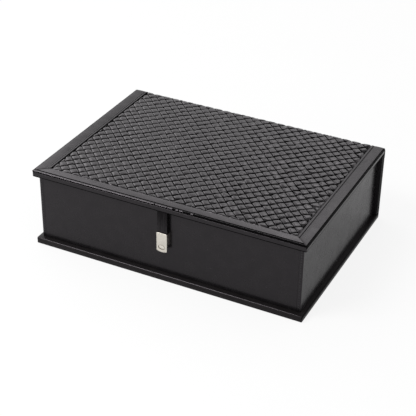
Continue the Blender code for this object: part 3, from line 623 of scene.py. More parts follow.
# Widths of black at the band's outer and inner edges: edge paint, widened by a painted shadow of the gaps
SIDE_PAINT_AND_SHADOW = {"left": 0.95 * MM, "right": 1.6 * MM}
INNER_PAINT_AND_SHADOW = {"left": 0.70 * MM, "right": 0.45 * MM}
# Half width of the black in the side creases, a painted shade
CREASE_SHADE = 0.28 * MM
INNER_ROUNDING = 0.4 * MM


def arc(centre, radius, start, end, count=5):
    """Points on an arc, from one angle to another in degrees."""
    a = np.radians(np.linspace(start, end, count))
    return np.stack([centre[0] + radius * np.cos(a), centre[1] + radius * np.sin(a)], -1)


def crease(at, top, deep, wide):
    """A creased line: a rounded groove pressed into the leather with a warm tool."""
    w = np.linspace(-1, 1, 7)
    return np.stack([at + w * wide / 2, top - deep * np.cos(w * np.pi / 2) ** 1.5], -1)


def crowned(start, end, sag, count=7, power=2):
    """A slightly domed stretch: highest in the middle, lower by the sag at both ends."""
    w = np.linspace(-1, 1, count)
    return np.stack([(start + end) / 2 + w * (end - start) / 2, BORDER_RISE - sag * np.abs(w) ** power], -1)


def closed_section(outer, body, inner, width, painted_slope):
    """Joins the stretches to one outline of (distance from the outer edge, height over the cover) and
    marks the stretches at both cut edges that are steeper than the given slope as painted."""
    low = np.array([[width - 0.3 * MM, 0.0], [0.35 * MM, 0.0]])
    section = np.concatenate([outer, *body, inner, low])
    step = np.roll(section, -1, 0) - section
    middle = section + step / 2
    at_edge = (middle[:, 0] < 0.7 * MM) | (middle[:, 0] > width - 0.5 * MM)
    painted = at_edge & (np.abs(step[:, 1]) > painted_slope * np.abs(step[:, 0]))
    return section, painted.astype(int)


def front_section():
    """A raised lip along the front, a creased line behind it, black as painted shade, and the domed band."""
    r, q, top = 0.8 * MM, INNER_ROUNDING, BORDER_RISE
    outer = arc((r, top - r - 0.1 * MM), r, 180, 90, 8)
    lip = np.array([[1.2 * MM, top], [1.8 * MM, top]])
    groove = crease(FRONT_CREASE, top - 0.12 * MM, 0.75 * MM, 2.0 * MM)
    dome = crowned(4.7 * MM, FRONT_BAND - q - 0.3 * MM, 0.12 * MM)
    inner = arc((FRONT_BAND - q, top - q - 0.15 * MM), q, 90, 0)
    section, painted = closed_section(outer, [lip, groove, dome], inner, FRONT_BAND, 1.3)
    # The front crease is black as painted shade
    painted[(section[:, 0] > FRONT_CREASE - 0.1 * MM) & (section[:, 0] < FRONT_CREASE + 0.8 * MM)] = 1
    return section, painted


def side_section(way):
    """A domed band with a rounded outer edge and a fine creased line near the weave. The crease is black as
    painted shade, and the black runs over both shoulders: edge paint, widened as a painted shadow of the
    gaps beside the band."""
    r, q, top = 0.9 * MM, INNER_ROUNDING, BORDER_RISE
    crease_at = SIDE_BAND - SIDE_CREASE
    outer = arc((r, top - r - 0.1 * MM), r, 180, 90, 7)
    dome = crowned(r + 0.5 * MM, SIDE_BAND - 4.2 * MM, 0.20 * MM, 13, 3)
    groove = crease(crease_at, top - 0.10 * MM, 0.45 * MM, 1.1 * MM)
    strip = crowned(SIDE_BAND - 2.6 * MM, SIDE_BAND - q - 0.2 * MM, 0.10 * MM)
    inner = arc((SIDE_BAND - q, top - q - 0.1 * MM), q, 90, 0)
    section, painted = closed_section(outer, [dome, groove, strip], inner, SIDE_BAND, 0.4)
    middle = (section[:, 0] + np.roll(section[:, 0], -1)) / 2
    at_outside, at_weave = middle < SIDE_PAINT_AND_SHADOW[way], middle > SIDE_BAND - INNER_PAINT_AND_SHADOW[way]
    # Black at the shoulders (edge paint and painted shadow) and in the crease (painted shade)
    painted[at_outside | at_weave | (np.abs(middle - crease_at) < CREASE_SHADE)] = 1
    return section, painted


# %% Carrying a section along a band
BAND_DROPS = np.array([1.0, 0.35, 0.0]) * 0.35 * MM
LIP_OUTER_PART = 1.5 * MM
LIP_BLACK_START, LIP_BLACK_FADE, LIP_BLACK_GAPS = 0.025, 0.02, 1.8


def front_band(d, t, h):
    """Across the front: the mitre shortens the band by its side width over its own depth."""
    x = t * (HALF_WIDTH - d * SIDE_BAND / FRONT_BAND)
    return np.stack([x, -HALF_DEPTH + d, COVER_UNDERSIDE + h], -1)


def side_band(side):
    """Along one side, from the front mitre to the back and down round the back edge."""
    def place(d, t, h):
        start = -HALF_DEPTH + d * FRONT_BAND / SIDE_BAND - FIELD_FRONT
        return on_lid(side * (HALF_WIDTH - d), start + (t + 1) / 2 * (LID_RUN - start), h)
    return place


def spine_band(side):
    """Down one side of the spine."""
    return lambda d, t, h: on_spine(side * (HALF_WIDTH - d), (t + 1) / 2 * SPINE_RUN, h)


def with_soft_ends(steps, length):
    """Adds two close rows near each end, 0.2 and 0.5 mm from it, where the end is rounded off."""
    near = np.array([0.2, 0.5]) * MM * 2 / length
    inside = steps[(steps > -1 + near[1]) & (steps < 1 - near[1])]
    return np.concatenate([[-1], -1 + near, inside, 1 - near[::-1], [1]])


def round_ends(heights, high, drops):
    """Lowers the high points of the first and last rows by the drops, so that the ends are rounded off."""
    heights[:len(drops), high] -= drops[:, None]
    heights[-len(drops):, high] -= drops[::-1, None]


def lay_band(name, hide, section, painted, place, seed, node, steps):
    """Carries the section along the band at the given steps from -1 to 1; its height wanders a little, as
    cut leather does, and its ends are rounded off."""
    t = np.asarray(steps)[:, None]
    shape = (len(steps), len(section))
    h = np.broadcast_to(section[:, 1], shape).copy()
    high = section[:, 1] > 1 * MM
    h[:, high] += (wander(t, seed, 0.25) - 1) * 0.04 * MM
    h[:, high] += (wander(t, seed + 50, 0.05) - 1) * 0.015 * MM
    round_ends(h, high, BAND_DROPS)
    d, t = np.broadcast_to(section[:, 0], shape), np.broadcast_to(t, shape)
    piece = tube(name, place(d, t, h), [hide, black_paint_and_shade, lip_polish], 50, painted)
    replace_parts(piece, node)
    return piece


def brushed_lip(section, painted, steps):
    """The lip is polished by hands; on the right half its outer part is black, with small gaps."""
    x = (steps[:-1] + steps[1:]) / 2 * HALF_WIDTH
    lip_black = (x - LIP_BLACK_START) / LIP_BLACK_FADE + LIP_BLACK_GAPS * wander(x, 71, 0.012) > 0
    on_lip = (section[:, 0] > 0.02 * MM) & (section[:, 0] < LIP)
    polished = np.where(on_lip & (painted == 0), 2, painted)
    outer_part = on_lip & (section[:, 0] < LIP_OUTER_PART)
    return np.where(lip_black[:, None] & outer_part[None, :], 1, polished[None, :])


# %% Lay the bands on the lid and the spine
front_steps = with_soft_ends(np.linspace(-1, 1, 241), 2 * HALF_WIDTH)
spine_steps = with_soft_ends(np.linspace(-1, 1, 41), SPINE_RUN)
turn_start = 2 * (FLAT_LENGTH + HALF_DEPTH + FIELD_FRONT) / (LID_RUN + HALF_DEPTH + FIELD_FRONT) - 1
flat_steps, turn_steps = np.linspace(-1, turn_start, 90), np.linspace(turn_start, 1, 18)
side_steps = with_soft_ends(np.concatenate([flat_steps, turn_steps[1:]]), LID_RUN)

section, painted = front_section()
lip_kinds = brushed_lip(section, painted, front_steps)
band = lay_band("band_front", band_leather["front"], section, lip_kinds, front_band, 3,
                "lid_border_front", front_steps)
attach(band, "lid")
for side, way, seed in ((-1, "left", 5), (1, "right", 8)):
    section, painted = side_section(way)
    band = lay_band(f"band_{way}", band_leather[way], section, painted, side_band(side), seed,
                    f"lid_border_{way}", side_steps)
    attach(band, "lid")
    band = lay_band(f"spine_band_{way}", band_leather[way], section, painted, spine_band(side), seed + 20,
                    f"spine_border_{way}", spine_steps)
    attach(band, "box")

# %% [markdown]
# ## Leather round the lid board and the base board
# Both boards are wrapped: the hide goes over the edges and is turned in underneath. The wrap is a stack of
# rectangles: from the middle of the top outwards, round the edge, inwards below up to the cut edge, and
# back on the inside 1 mm from the outside. Covered edges are rounder than cut board. Like the ends of the
# spine, the left and right edges of lid and base are blackened; at the top of the lid's sides this is edge
# paint together with a painted shadow of the gap under the bands. The lower edge of the lid is blackened
# all round as a painted shadow of the line between lid and walls, and hands have polished the base's front
# and back edges.

# %% Rectangles with rounded corners
HIDE = 1.0 * MM
TURN_IN = 14.0 * MM


def rectangle_ring(low, high, corner, per_side=40, per_corner=5):
    """Points round a rectangle with rounded corners, anticlockwise from its high corner."""
    angles = np.radians(np.linspace(0, 90, per_corner))
    centres = ((high[0] - corner, high[1] - corner), (low[0] + corner, high[1] - corner),
               (low[0] + corner, low[1] + corner), (high[0] - corner, low[1] + corner))
    corners = [np.stack([cx + corner * np.cos(angles + turn * np.pi / 2),
                         cy + corner * np.sin(angles + turn * np.pi / 2)], -1)
               for turn, (cx, cy) in enumerate(centres)]
    share = np.linspace(0, 1, per_side + 2)[1:-1, None]
    ring = []
    for here, there in zip(corners, corners[1:] + corners[:1]):
        ring += [here, here[-1] + share * (there[0] - here[-1])]
    return np.concatenate(ring)


def at_sides(rings, reach):
    """Marks the stretches of the rings whose middle is within reach of the box's left or right side."""
    x = rings[:-1, :, 0]
    return np.abs(x + np.roll(x, -1, 1)) / 2 > HALF_WIDTH - reach


def wrapped_board(name, outline, back_of, node, materials, painted=(), sides_painted=(), polished=()):
    """The wrap from an outline of (inset, height); back_of gives the back edge for the outline. painted
    lists the stretches of the outline that are blackened all round, sides_painted those only at left and
    right, and polished the stretches that hands have polished."""
    outline = np.abs(outline)
    rings = np.stack([rectangle_ring((inset - HALF_WIDTH, inset - HALF_DEPTH), (HALF_WIDTH - inset, back),
                                     max(1.2 * MM - inset, 0.25 * MM))
                      for inset, back in zip(outline[:, 0], back_of(outline))])
    heights = np.broadcast_to(outline[:, 1, None, None], (*rings.shape[:2], 1))
    stretch = np.arange(len(outline) - 1)[:, None]
    black = np.isin(stretch, painted) | (np.isin(stretch, sides_painted) & at_sides(rings, 0.8 * MM))
    kinds = np.where(black, 1, np.where(np.isin(stretch, polished), 2, 0))
    piece = tube(name, np.concatenate([rings, heights], -1), materials, 50, kinds)
    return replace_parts(piece, node)


# %% Lid wrap
LID_UNDERSIDE = 0.0960
LID_CORE_TOP = 0.1025
LID_CORE_BACK = 0.1275
LID_EDGE = 1.3 * MM
LID_INSIDE_POINTS = 6


def lid_back(outline):
    """The lid's back edge is rounded at the top with 4 mm outside and 3 mm inside."""
    inset, z = outline.T
    middle_y, middle_z = LID_CORE_BACK - 4 * MM, LID_CORE_TOP - 4 * MM
    inside = np.arange(len(z)) >= len(z) - LID_INSIDE_POINTS
    radius = np.where(inside, 3 * MM, 4 * MM)
    over = np.clip(z - middle_z, 0, radius)
    y = middle_y + np.sqrt(radius ** 2 - over ** 2)
    return y - np.where(inside, inset - HIDE, inset)


def turned_in(foot):
    """The turned-in part of a wrap: inwards under the board and up the cut edge, 1 mm high."""
    return [(6 * MM, foot), (TURN_IN - 0.25 * MM, foot), (TURN_IN, foot + 0.2 * MM), (TURN_IN, foot + HIDE)]


lid_outline = np.concatenate([
    [(20 * MM, LID_CORE_TOP), (6 * MM, LID_CORE_TOP), (0.5 * MM, LID_CORE_TOP), (0.15 * MM, 0.1023),
     (0.02 * MM, 0.1020), (0, 0.1014), (0, 0.1006), (0, 0.0996), (0, 0.0977)],
    arc((LID_EDGE, LID_UNDERSIDE + LID_EDGE), LID_EDGE, 180, 270, 6), turned_in(LID_UNDERSIDE),
    [(HIDE + 0.5 * MM, LID_UNDERSIDE + HIDE), (HIDE, 0.0975), (HIDE, 0.0985), (HIDE, 0.1008),
     (1.5 * MM, 0.1015), (20 * MM, 0.1015)]])
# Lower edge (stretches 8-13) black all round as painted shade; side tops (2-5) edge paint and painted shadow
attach(wrapped_board("lid_wrap", lid_outline, lid_back, "lid_leather", [wall_leather, black_paint_and_shade],
                      range(8, 14), range(2, 6)), "lid")

# %% Base wrap
BASE_TOP = 0.0085
BASE_FOOT = 0.0003
BASE_EDGE = 1.1 * MM
BASE_LOWER_EDGE = 0.7 * MM
base_outline = np.concatenate([
    [(20 * MM, BASE_TOP), (8 * MM, BASE_TOP)], arc((BASE_EDGE, BASE_TOP - BASE_EDGE), BASE_EDGE, 90, 180, 6),
    [(0, 0.0045)], arc((BASE_LOWER_EDGE, BASE_FOOT + BASE_LOWER_EDGE), BASE_LOWER_EDGE, 180, 270, 4),
    turned_in(BASE_FOOT), [(HIDE + 0.4 * MM, BASE_FOOT + HIDE), (HIDE, BASE_FOOT + HIDE + 0.4 * MM),
                           (HIDE, 0.0070), (HIDE + 0.5 * MM, 0.0075), (20 * MM, 0.0075)]])
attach(wrapped_board("base_wrap", base_outline, lambda outline: HALF_DEPTH - outline[:, 0], "base_leather",
                      [base_hide, black_paint_and_shade, base_polish], (), range(3, 8), range(3, 6)), "box")

# %% Spine wrap
spine_low, spine_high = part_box("spine_inner_leather")
SPINE_EDGE = 0.9 * MM


def spine_wrap():
    """The hide inside, over the top and round both ends of the spine: rectangles in x and z, stacked from
    the board forwards and back again. Its ends are blackened like the cut edges."""
    r = SPINE_EDGE
    front, back = spine_low.y, spine_high.y
    outline = np.concatenate([
        [(20 * MM, front + HIDE), (HIDE, front + HIDE), (HIDE, back), (0, back), (0, (front + back) / 2)],
        arc((r, front + r), r, 180, 270, 6), [(4 * MM, front)]])
    rings = np.stack([rectangle_ring((inset - HALF_WIDTH, spine_low.z + 0.01 * inset),
                                     (HALF_WIDTH - inset, spine_high.z - inset),
                                     max(0.8 * MM - inset, 0.2 * MM)) for inset in outline[:, 0]])
    y = np.broadcast_to(outline[:, 1, None], rings.shape[:2])
    return tube("spine_wrap", np.stack([rings[..., 0], y, rings[..., 1]], -1), [spine_hide, black_paint_and_shade], 50,
                at_sides(rings, 0.5 * MM).astype(int))


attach(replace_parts(spine_wrap(), "spine_inner_leather"), "box")

# %% [markdown]
# ## Leather on the tray walls
# Each wall's hide goes up the outer face, over the rim and 12 mm down inside, so its section is a hook that
# is carried along the wall. The rim is rounder than the board because the hide bends over it. The side
# hides return 5 mm round the front corners, where they are sewn down.

# %% Tray leathers
TRAY_SIDE = 0.1748
TRAY_FRONT = -0.1230
TRAY_BACK = 0.1185
TRAY_FOOT = 0.0088
RIM = 0.0955
WALL = 6.6 * MM
RIM_TURN_IN = 12.0 * MM
RIM_RADIUS = 1.4 * MM
RETURN = 5.2 * MM
SEAM_GAP = 0.3 * MM
SEWN_GAP = 0.05 * MM
WALL_DROPS = np.array([0.5, 0.15, 0.0]) * MM


def hook_section():
    """The hide's section as (depth from the outer face, height), from the foot up, over and down inside,
    and back along the inner side of the hide."""
    r = RIM_RADIUS
    rise = np.stack([np.zeros(12), np.linspace(TRAY_FOOT, RIM - r, 12)], -1)[:-1]
    over = np.concatenate([arc((r, RIM - r), r, 180, 90, 7), arc((WALL - r, RIM - r), r, 90, 0, 7)])
    down = np.array([[WALL, RIM - 0.6 * RIM_TURN_IN], [WALL, RIM - RIM_TURN_IN + 0.2 * MM],
                     [WALL - 0.2 * MM, RIM - RIM_TURN_IN], [WALL - HIDE, RIM - RIM_TURN_IN]])
    inside = np.array([[WALL - HIDE, RIM - 1.6 * MM], [WALL - 1.6 * MM, RIM - HIDE], [1.6 * MM, RIM - HIDE],
                       [HIDE, RIM - 1.6 * MM], [HIDE, TRAY_FOOT]])
    return np.concatenate([rise, over, down, inside])


def tray_leather(name, node, place, run_low, run_high, seed):
    """Carries the hook along a wall. run_low and run_high may differ for the points of the section. The
    outer face wanders by a few hundredths of a millimetre, as glued hide does."""
    section = hook_section()
    t = with_soft_ends(np.linspace(0, 1, 61) * 2 - 1, 0.24)[:, None] / 2 + 0.5
    d, z = (np.broadcast_to(column, (len(t), len(section))).copy() for column in section.T)
    run = run_low(section) * (1 - t) + run_high(section) * t
    on_face = (section[:, 0] < 0.01 * MM) & (section[:, 1] > 0.012)
    d[:, on_face] += (1 + wander(run[:, on_face] + 2.1 * z[:, on_face], seed, 0.07)) * 0.03 * MM
    round_ends(z, section[:, 1] > RIM - 0.3 * MM, WALL_DROPS)
    piece = tube(name, place(d, run, z), [wall_leather])
    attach(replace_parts(piece, node), "box")


def level(value):
    """The same end of the run for every point of the section."""
    return lambda section: np.full(len(section), value)


def front_end(sign):
    """The front hide reaches the seam on its face, but stops at the side walls on the rim and inside."""
    seam, inner = TRAY_SIDE - RETURN - SEWN_GAP, TRAY_SIDE - WALL - SEAM_GAP

    def end(section):
        on_face = (section[:, 0] < 1.1 * MM) & (section[:, 1] < RIM - 1.35 * MM)
        return sign * np.where(on_face, seam, inner)
    return end


def across_box(y, way):
    """Places the front hide (way 1) or the rear hide (way -1) along x, with its face at y."""
    return lambda d, run, z: np.stack([run, y + way * d, z], -1)


def along_box(side):
    """Places a side hide along y."""
    return lambda d, run, z: np.stack([side * (TRAY_SIDE - d), run, z], -1)


tray_leather("front_wall_hide", "tray_front_leather", across_box(TRAY_FRONT, 1), front_end(-1), front_end(1),
             41)
tray_leather("rear_wall_hide", "tray_rear_leather", across_box(TRAY_BACK, -1),
             level(WALL + SEAM_GAP - TRAY_SIDE), level(TRAY_SIDE - WALL - SEAM_GAP), 42)
for side, way, seed in ((-1, "left", 43), (1, "right", 44)):
    tray_leather(f"{way}_wall_hide", f"tray_{way}_leather", along_box(side), level(TRAY_FRONT + 0.25 * MM),
                 level(TRAY_BACK), seed)

# %% [markdown]
# ## Corner returns, suede linings and felt
# All of these are sheets glued flat on board. Each is a stack of rounded rectangles: up the cut edge, over
# a soft shoulder and a little way in, where the flat face closes it. The linings and the felt fill the
# space of their CAD nodes.

# %% Glued sheets


def glued_sheet(name, low, high, axis, side, materials, soft=0.45 * MM):
    """A sheet that fills the box from low to high. Its face looks along the axis, to the given side."""
    low, high = np.array(low), np.array(high)
    flat = [k for k in range(3) if k != axis]
    thick = high[axis] - low[axis]
    outline = np.concatenate([[[0.25 * MM, 0], [0, 0.15 * MM]], arc((soft, thick - soft), soft, 180, 90, 6),
                              [[soft + 2.5 * MM, thick]]])
    rings = []
    for inset, depth in outline:
        ring = rectangle_ring(low[flat] + inset, high[flat] - inset, max(0.9 * MM - inset, 0.2 * MM), 16)
        points = np.empty((len(ring), 3))
        points[:, flat] = ring
        points[:, axis] = low[axis] + depth if side > 0 else high[axis] - depth
        rings.append(points)
    return tube(name, np.stack(rings), materials)


for side, way in ((-1, "left"), (1, "right")):
    x_low, x_high = sorted((side * (TRAY_SIDE - RETURN), side * TRAY_SIDE))
    corner = glued_sheet(f"corner_return_{way}", (x_low, TRAY_FRONT, TRAY_FOOT),
                         (x_high, TRAY_FRONT + HIDE, RIM - HIDE), 1, -1, [wall_leather], 0.35 * MM)
    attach(corner, "box")

for name, node, axis, side, held, board, body in (
        ("floor_suede", "tray_floor_lining", 2, 1, "laid", "tray_floor_board", "box"),
        ("front_suede", "tray_front_lining", 1, 1, "stretched", "tray_front_board", "box"),
        ("rear_suede", "tray_rear_lining", 1, -1, "stretched", "tray_rear_board", "box"),
        ("left_suede", "tray_left_lining", 0, 1, "stretched", "tray_left_board", "box"),
        ("right_suede", "tray_right_lining", 0, -1, "stretched", "tray_right_board", "box"),
        ("lid_suede", "lid_lining", 2, -1, "stretched", "lid_board", "lid"),
        ("foot_felt", "base_underside", 2, -1, "stretched", "base_board", "box")):
    low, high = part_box(node)
    sheet = glued_sheet(name, low, high, axis, side, [felt if node == "base_underside" else suede])
    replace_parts(sheet, node)
    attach(sheet, body)

# %% [markdown]
# ## Hinge strip and strap
# The lid turns on a strip of hide along the back edge, and the strap bends where it comes out under the
# lid. Each is a single mesh with many rows along its length.

# %% Hinge strip
hinge_low, hinge_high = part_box("hinge_leather")
LINE_POINTS = np.array([-0.45, -0.22, 0, 0.22, 0.45]) * MM


def flat_strip(low, high, rounding, rows, lines=(), line_depth=0.0):
    """Rings of a strip that hangs along z: a rectangle in x and y with rounded edges, and creased lines at
    the given x on its front face, the one with the lower y."""
    inner_low, inner_high = low[0] + rounding, high[0] - rounding
    x = np.concatenate([np.linspace(inner_low, inner_high, 25), *[at + LINE_POINTS for at in lines]])
    x = np.unique(np.round(x, 6))
    groove = sum(line_depth * np.clip(1 - np.abs(x - at) / LINE_POINTS[-1], 0, 1) for at in lines)
    face = np.stack([x, low[1] + np.zeros_like(x) + groove], -1)
    middle = (low[1] + high[1]) / 2
    right_edge = arc((inner_high, middle), rounding, -80, 80, 6)
    right_edge[:, 1] = middle + (right_edge[:, 1] - middle) * (high[1] - low[1]) / 2 / rounding
    left_edge = right_edge[::-1].copy()
    left_edge[:, 0] = low[0] + high[0] - left_edge[:, 0]
    ring = np.concatenate([face, right_edge, [(inner_high, high[1]), (inner_low, high[1])], left_edge])
    rings = np.broadcast_to(ring, (len(rows), *ring.shape))
    heights = np.broadcast_to(np.asarray(rows)[:, None, None], (*rings.shape[:2], 1))
    return np.concatenate([rings, heights], -1)


hinge_rings = flat_strip((hinge_low.x, hinge_low.y), (hinge_high.x, hinge_high.y), 0.4 * MM,
                         np.linspace(hinge_low.z, hinge_high.z, 41))
hinge = tube("hinge_strip", hinge_rings, [hinge_hide], 60)
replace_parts(hinge, "hinge_leather")
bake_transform(hinge)

# %% Strap
CLASP_X = -0.0020
STRAP_HALF = 6.7 * MM
STRAP_TOP = 0.0962
STRAP_LINES = [CLASP_X + k * MM for k in (-4.9, -1.7, 1.7, 4.9)]
FADE_START, FADE_LENGTH = 0.0715, 0.009
strap_low, strap_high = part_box("strap")
rows = np.linspace(strap_low.z, STRAP_TOP, 70)
strap_rings = flat_strip((CLASP_X - STRAP_HALF, strap_low.y), (CLASP_X + STRAP_HALF, strap_high.y),
                         0.5 * MM, rows, STRAP_LINES, 0.22 * MM)

# The strap's shine fades in three steps towards its top as painted shade under the lid, with a wandering
# border between them
stretches = np.arange(strap_rings.shape[1])
darkness = (rows[1:, None] - FADE_START) / FADE_LENGTH + 1.3 * wander(stretches * 1.0, 91, 3.1)[None, :]
darkness += 0.5 * wander(rows[1:, None] + 0.01 * stretches[None, :], 92, 0.006)
shine = np.clip(np.round(darkness), 0, 2).astype(int)
strap = tube("strap_leather_strip", strap_rings, strap_leather, 60, shine)
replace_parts(strap, "strap")
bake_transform(strap)

# %% [markdown]
# ## Metal end plate and its stud
# The plate is stamped from sheet: straight sides, small corners at the top, rounder ones at the bowed
# foot, an oval recess for the stud, and softened edges. It is a stack of loops around the same outline.

# %% Plate outline
PLATE_FRONT = -0.1297
PLATE_BACK = -0.1285
PLATE_LOW, PLATE_HIGH = 0.0407, 0.0669
PLATE_HALF = 6.9 * MM
PLATE_BOW = 1.4 * MM
PLATE_TOP_CORNER = 0.8 * MM
FOOT_CORNER_WIDTH, FOOT_CORNER_HEIGHT = 1.6 * MM, 1.5 * MM
PLATE_SOFT = 0.35 * MM
STUD_Z = 0.0476


def plate_outline(count=96):
    """The outline as count points evenly spaced by length, anticlockwise seen from the front, starting at
    the middle of the right side: round corners at the top, flatter ones at the foot, and a bow between."""
    r = PLATE_TOP_CORNER
    sag = np.linspace(1, -1, 15)
    foot_half = PLATE_HALF - FOOT_CORNER_WIDTH
    bow = np.stack([-sag * foot_half, PLATE_LOW + PLATE_BOW * (sag * foot_half / PLATE_HALF) ** 2], -1)
    turn = np.radians(np.linspace(0, 75, 7))
    corner_z = bow[-1, 1] + FOOT_CORNER_HEIGHT
    left = np.stack([-PLATE_HALF + FOOT_CORNER_WIDTH * (1 - np.cos(turn)),
                     corner_z - FOOT_CORNER_HEIGHT * np.sin(turn)], -1)
    line = np.concatenate([arc((PLATE_HALF - r, PLATE_HIGH - r), r, 0, 90, 6),
                           arc((r - PLATE_HALF, PLATE_HIGH - r), r, 90, 180, 6), left, bow,
                           left[::-1] * [-1, 1]])
    line = np.concatenate([line, line[:1]])
    length = np.concatenate([[0], np.cumsum(np.hypot(*np.diff(line, axis=0).T))])
    at = np.linspace(0, length[-1], count, endpoint=False)
    return np.stack([np.interp(at, length, line[:, 0]), np.interp(at, length, line[:, 1])], -1)


def inset(outline, distance):
    """Moves each point inwards, square to the line between its neighbours."""
    along = np.roll(outline, -1, 0) - np.roll(outline, 1, 0)
    along /= np.hypot(*along.T)[:, None]
    return outline + distance * np.stack([-along[:, 1], along[:, 0]], -1)


def oval(outline, half_x, half_z):
    """An oval about the stud's middle whose points lie in the same directions as the outline's."""
    way = outline - [0, STUD_Z]
    angle = np.arctan2(way[:, 1] / half_z, way[:, 0] / half_x)
    return np.stack([half_x * np.cos(angle), STUD_Z + half_z * np.sin(angle)], -1)


def clasp_rings(rows):
    """Upright rings about the middle of the clasp, each from its line in x and z and its y."""
    return np.stack([np.stack([CLASP_X + line[:, 0], np.full(len(line), y), line[:, 1]], -1)
                     for line, y in rows])


# %% End plate
outline = plate_outline()
plate_rows = [(inset(outline, 0.2 * MM), PLATE_BACK), (outline, PLATE_BACK - 0.2 * MM),
              (outline, PLATE_FRONT + PLATE_SOFT)]
for angle in np.radians([22.5, 45, 67.5, 90]):
    plate_rows.append((inset(outline, PLATE_SOFT * (1 - np.cos(angle))),
                       PLATE_FRONT + PLATE_SOFT * (1 - np.sin(angle))))
face_edge, recess_rim = inset(outline, PLATE_SOFT), oval(outline, 4.6 * MM, 3.4 * MM)
plate_rows += [(face_edge + share * (recess_rim - face_edge), PLATE_FRONT)
               for share in (0.25, 0.5, 0.75, 1.0)]
recess_rows = [(oval(outline, half_x * MM, half_z * MM), PLATE_FRONT + deep * MM)
               for half_x, half_z, deep in ((4.50, 3.30, 0.06), (4.40, 3.20, 0.2), (4.30, 3.10, 0.6))]
plate_rings = clasp_rings(plate_rows + recess_rows)
in_recess = (np.arange(len(plate_rings) - 1) > len(plate_rows) - 2).astype(int)[:, None]
plate = tube("end_plate", plate_rings, [satin_nickel, tarnished_nickel], 35, in_recess)
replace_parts(plate, "strap_end_plate")
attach(plate, "strap")

# %% Stud with its oval head
stud_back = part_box("strap_plate_stud")[1].y
around = np.linspace(0, 2 * np.pi, 48, endpoint=False)
stud_rows = [(1.1, 1.1, stud_back), (1.1, 1.1, -0.1291), (3.4, 2.2, -0.1291), (3.6, 2.4, -0.12925),
             (3.55, 2.35, -0.12955), (3.3, 2.15, -0.12972), (2.8, 1.8, -0.12984), (1.9, 1.25, -0.12993),
             (1.0, 0.65, -0.12998), (0.3, 0.2, -0.13000)]
ovals = [(np.stack([half_x * MM * np.cos(around), STUD_Z + half_z * MM * np.sin(around)], -1), y)
         for half_x, half_z, y in stud_rows]
stud = tube("oval_stud", clasp_rings(ovals), [satin_nickel], 40)
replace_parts(stud, "strap_plate_stud")
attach(stud, "strap")

# %% [markdown]
# ## Corner stitches
# The side leathers return 5 mm onto the front wall and are sewn down there. Each visible stitch is a
# short pad of waxed thread; one pad is a small grid, copied up the corner by adding offsets.

# %% Stitches
STITCH_PITCH = 3.5 * MM
STITCH_LENGTH = 2.7 * MM
FIRST_STITCH, LAST_STITCH = 0.0145, 0.0935
THREAD_BLACKS = (0.010, 0.010, 0.011), (0.018, 0.018, 0.019)
thread_black = leather("waxed_thread", THREAD_BLACKS, (0.35, 0.5), 0.5, 0.3 * MM)


def pads(centres, half_sizes, rows=5, columns=8):
    """Copies of one small closed pad: an ellipsoid from rings of longitude and two poles."""
    lat = (np.linspace(-1, 1, rows + 2)[1:-1] * np.pi / 2 * 0.98)[:, None]
    lon = np.linspace(0, 2 * np.pi, columns, endpoint=False)
    rings = np.broadcast_arrays(np.cos(lat) * np.cos(lon), np.cos(lat) * np.sin(lon), np.sin(lat))
    one = np.concatenate([np.stack(rings, -1).reshape(-1, 3), [(0, 0, -1.0), (0, 0, 1.0)]]) * half_sizes
    here = np.arange(columns)
    after, top, pole = (here + 1) % columns, (rows - 1) * columns, np.full(columns, rows * columns)
    blocks = (grid_quads(rows, columns, ring=True), np.stack([pole, after, here], -1),
              np.stack([pole + 1, top + here, top + after], -1))
    shift = np.arange(len(centres))[:, None, None] * len(one)
    faces = [face for block in blocks for face in (block + shift).reshape(-1, block.shape[1])]
    return (one + centres[:, None]).reshape(-1, 3), faces


stitch_z = np.arange(FIRST_STITCH, LAST_STITCH, STITCH_PITCH)
for side, way in ((-1, "left"), (1, "right")):
    seam = (side * (TRAY_SIDE - RETURN / 2), TRAY_FRONT - 0.1 * MM)
    centres = np.column_stack([np.broadcast_to(seam, (len(stitch_z), 2)), stitch_z])
    points, faces = pads(centres, np.array([0.55, 0.28, STITCH_LENGTH / MM / 2]) * MM)
    stitches = mesh_piece(f"corner_stitches_{way}", points, faces, [thread_black], 60)
    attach(stitches, "box")

# %% [markdown]
# ## Pieces that keep their CAD mesh
# The boards inside, the catch with its magnet and screws, the keeper behind the strap and the strap's
# anchor with its tacks are plain shapes, so they only get finishes.

# %% Finishes of the CAD pieces


def dress(material, *names):
    """Gives CAD nodes a finish by replacing what is in their material slots."""
    for name in names:
        nodes[name].data.materials.clear()
        nodes[name].data.materials.append(material)
    print(material.name, "on", ", ".join(names))


dress(strap_leather[1], "strap_anchor")
dress(satin_nickel, "catch_body", "catch_screw_lower", "catch_screw_upper")
dress(zinc_steel, "strap_keeper", "catch_backing_plate", "anchor_tack_left", "anchor_tack_right")
dress(magnet_plating, "catch_magnet")
dress(grey_board, "base_board", "tray_floor_board", "tray_front_board", "tray_left_board",
      "tray_right_board", "tray_rear_board", "spine_board", "lid_board")

# %% [markdown]
# ## Floor and light
# A white floor and a white surround, as in a small product studio. The camera sees both nearly white.
# The leather mostly shows what it reflects: a white backdrop and a dimmer ceiling. A lamp in front draws
# the bright line along the lid's rounded front edge, a weaker one at the left lights the left ends of the
# woven cells, and a faint one behind is mirrored in the right front of the lid.

# %% Floor
FLOOR_SIZE = 12.0
FLOOR_LINES = 9
FLOOR_Z = -0.02 * MM
FLOOR_SEEN = 0.80
FLOOR_REFLECTED = 0.25
FLOOR_GLOW = 1.05
FLOOR_WHITES = (0.78, 0.78, 0.78), (0.82, 0.82, 0.82)


def mixed(tree, share, first, second):
    """Mixes two shaders by a share from 0 to 1."""
    return add(tree, "ShaderNodeMixShader", {0: share, 1: first, 2: second}).outputs[0]


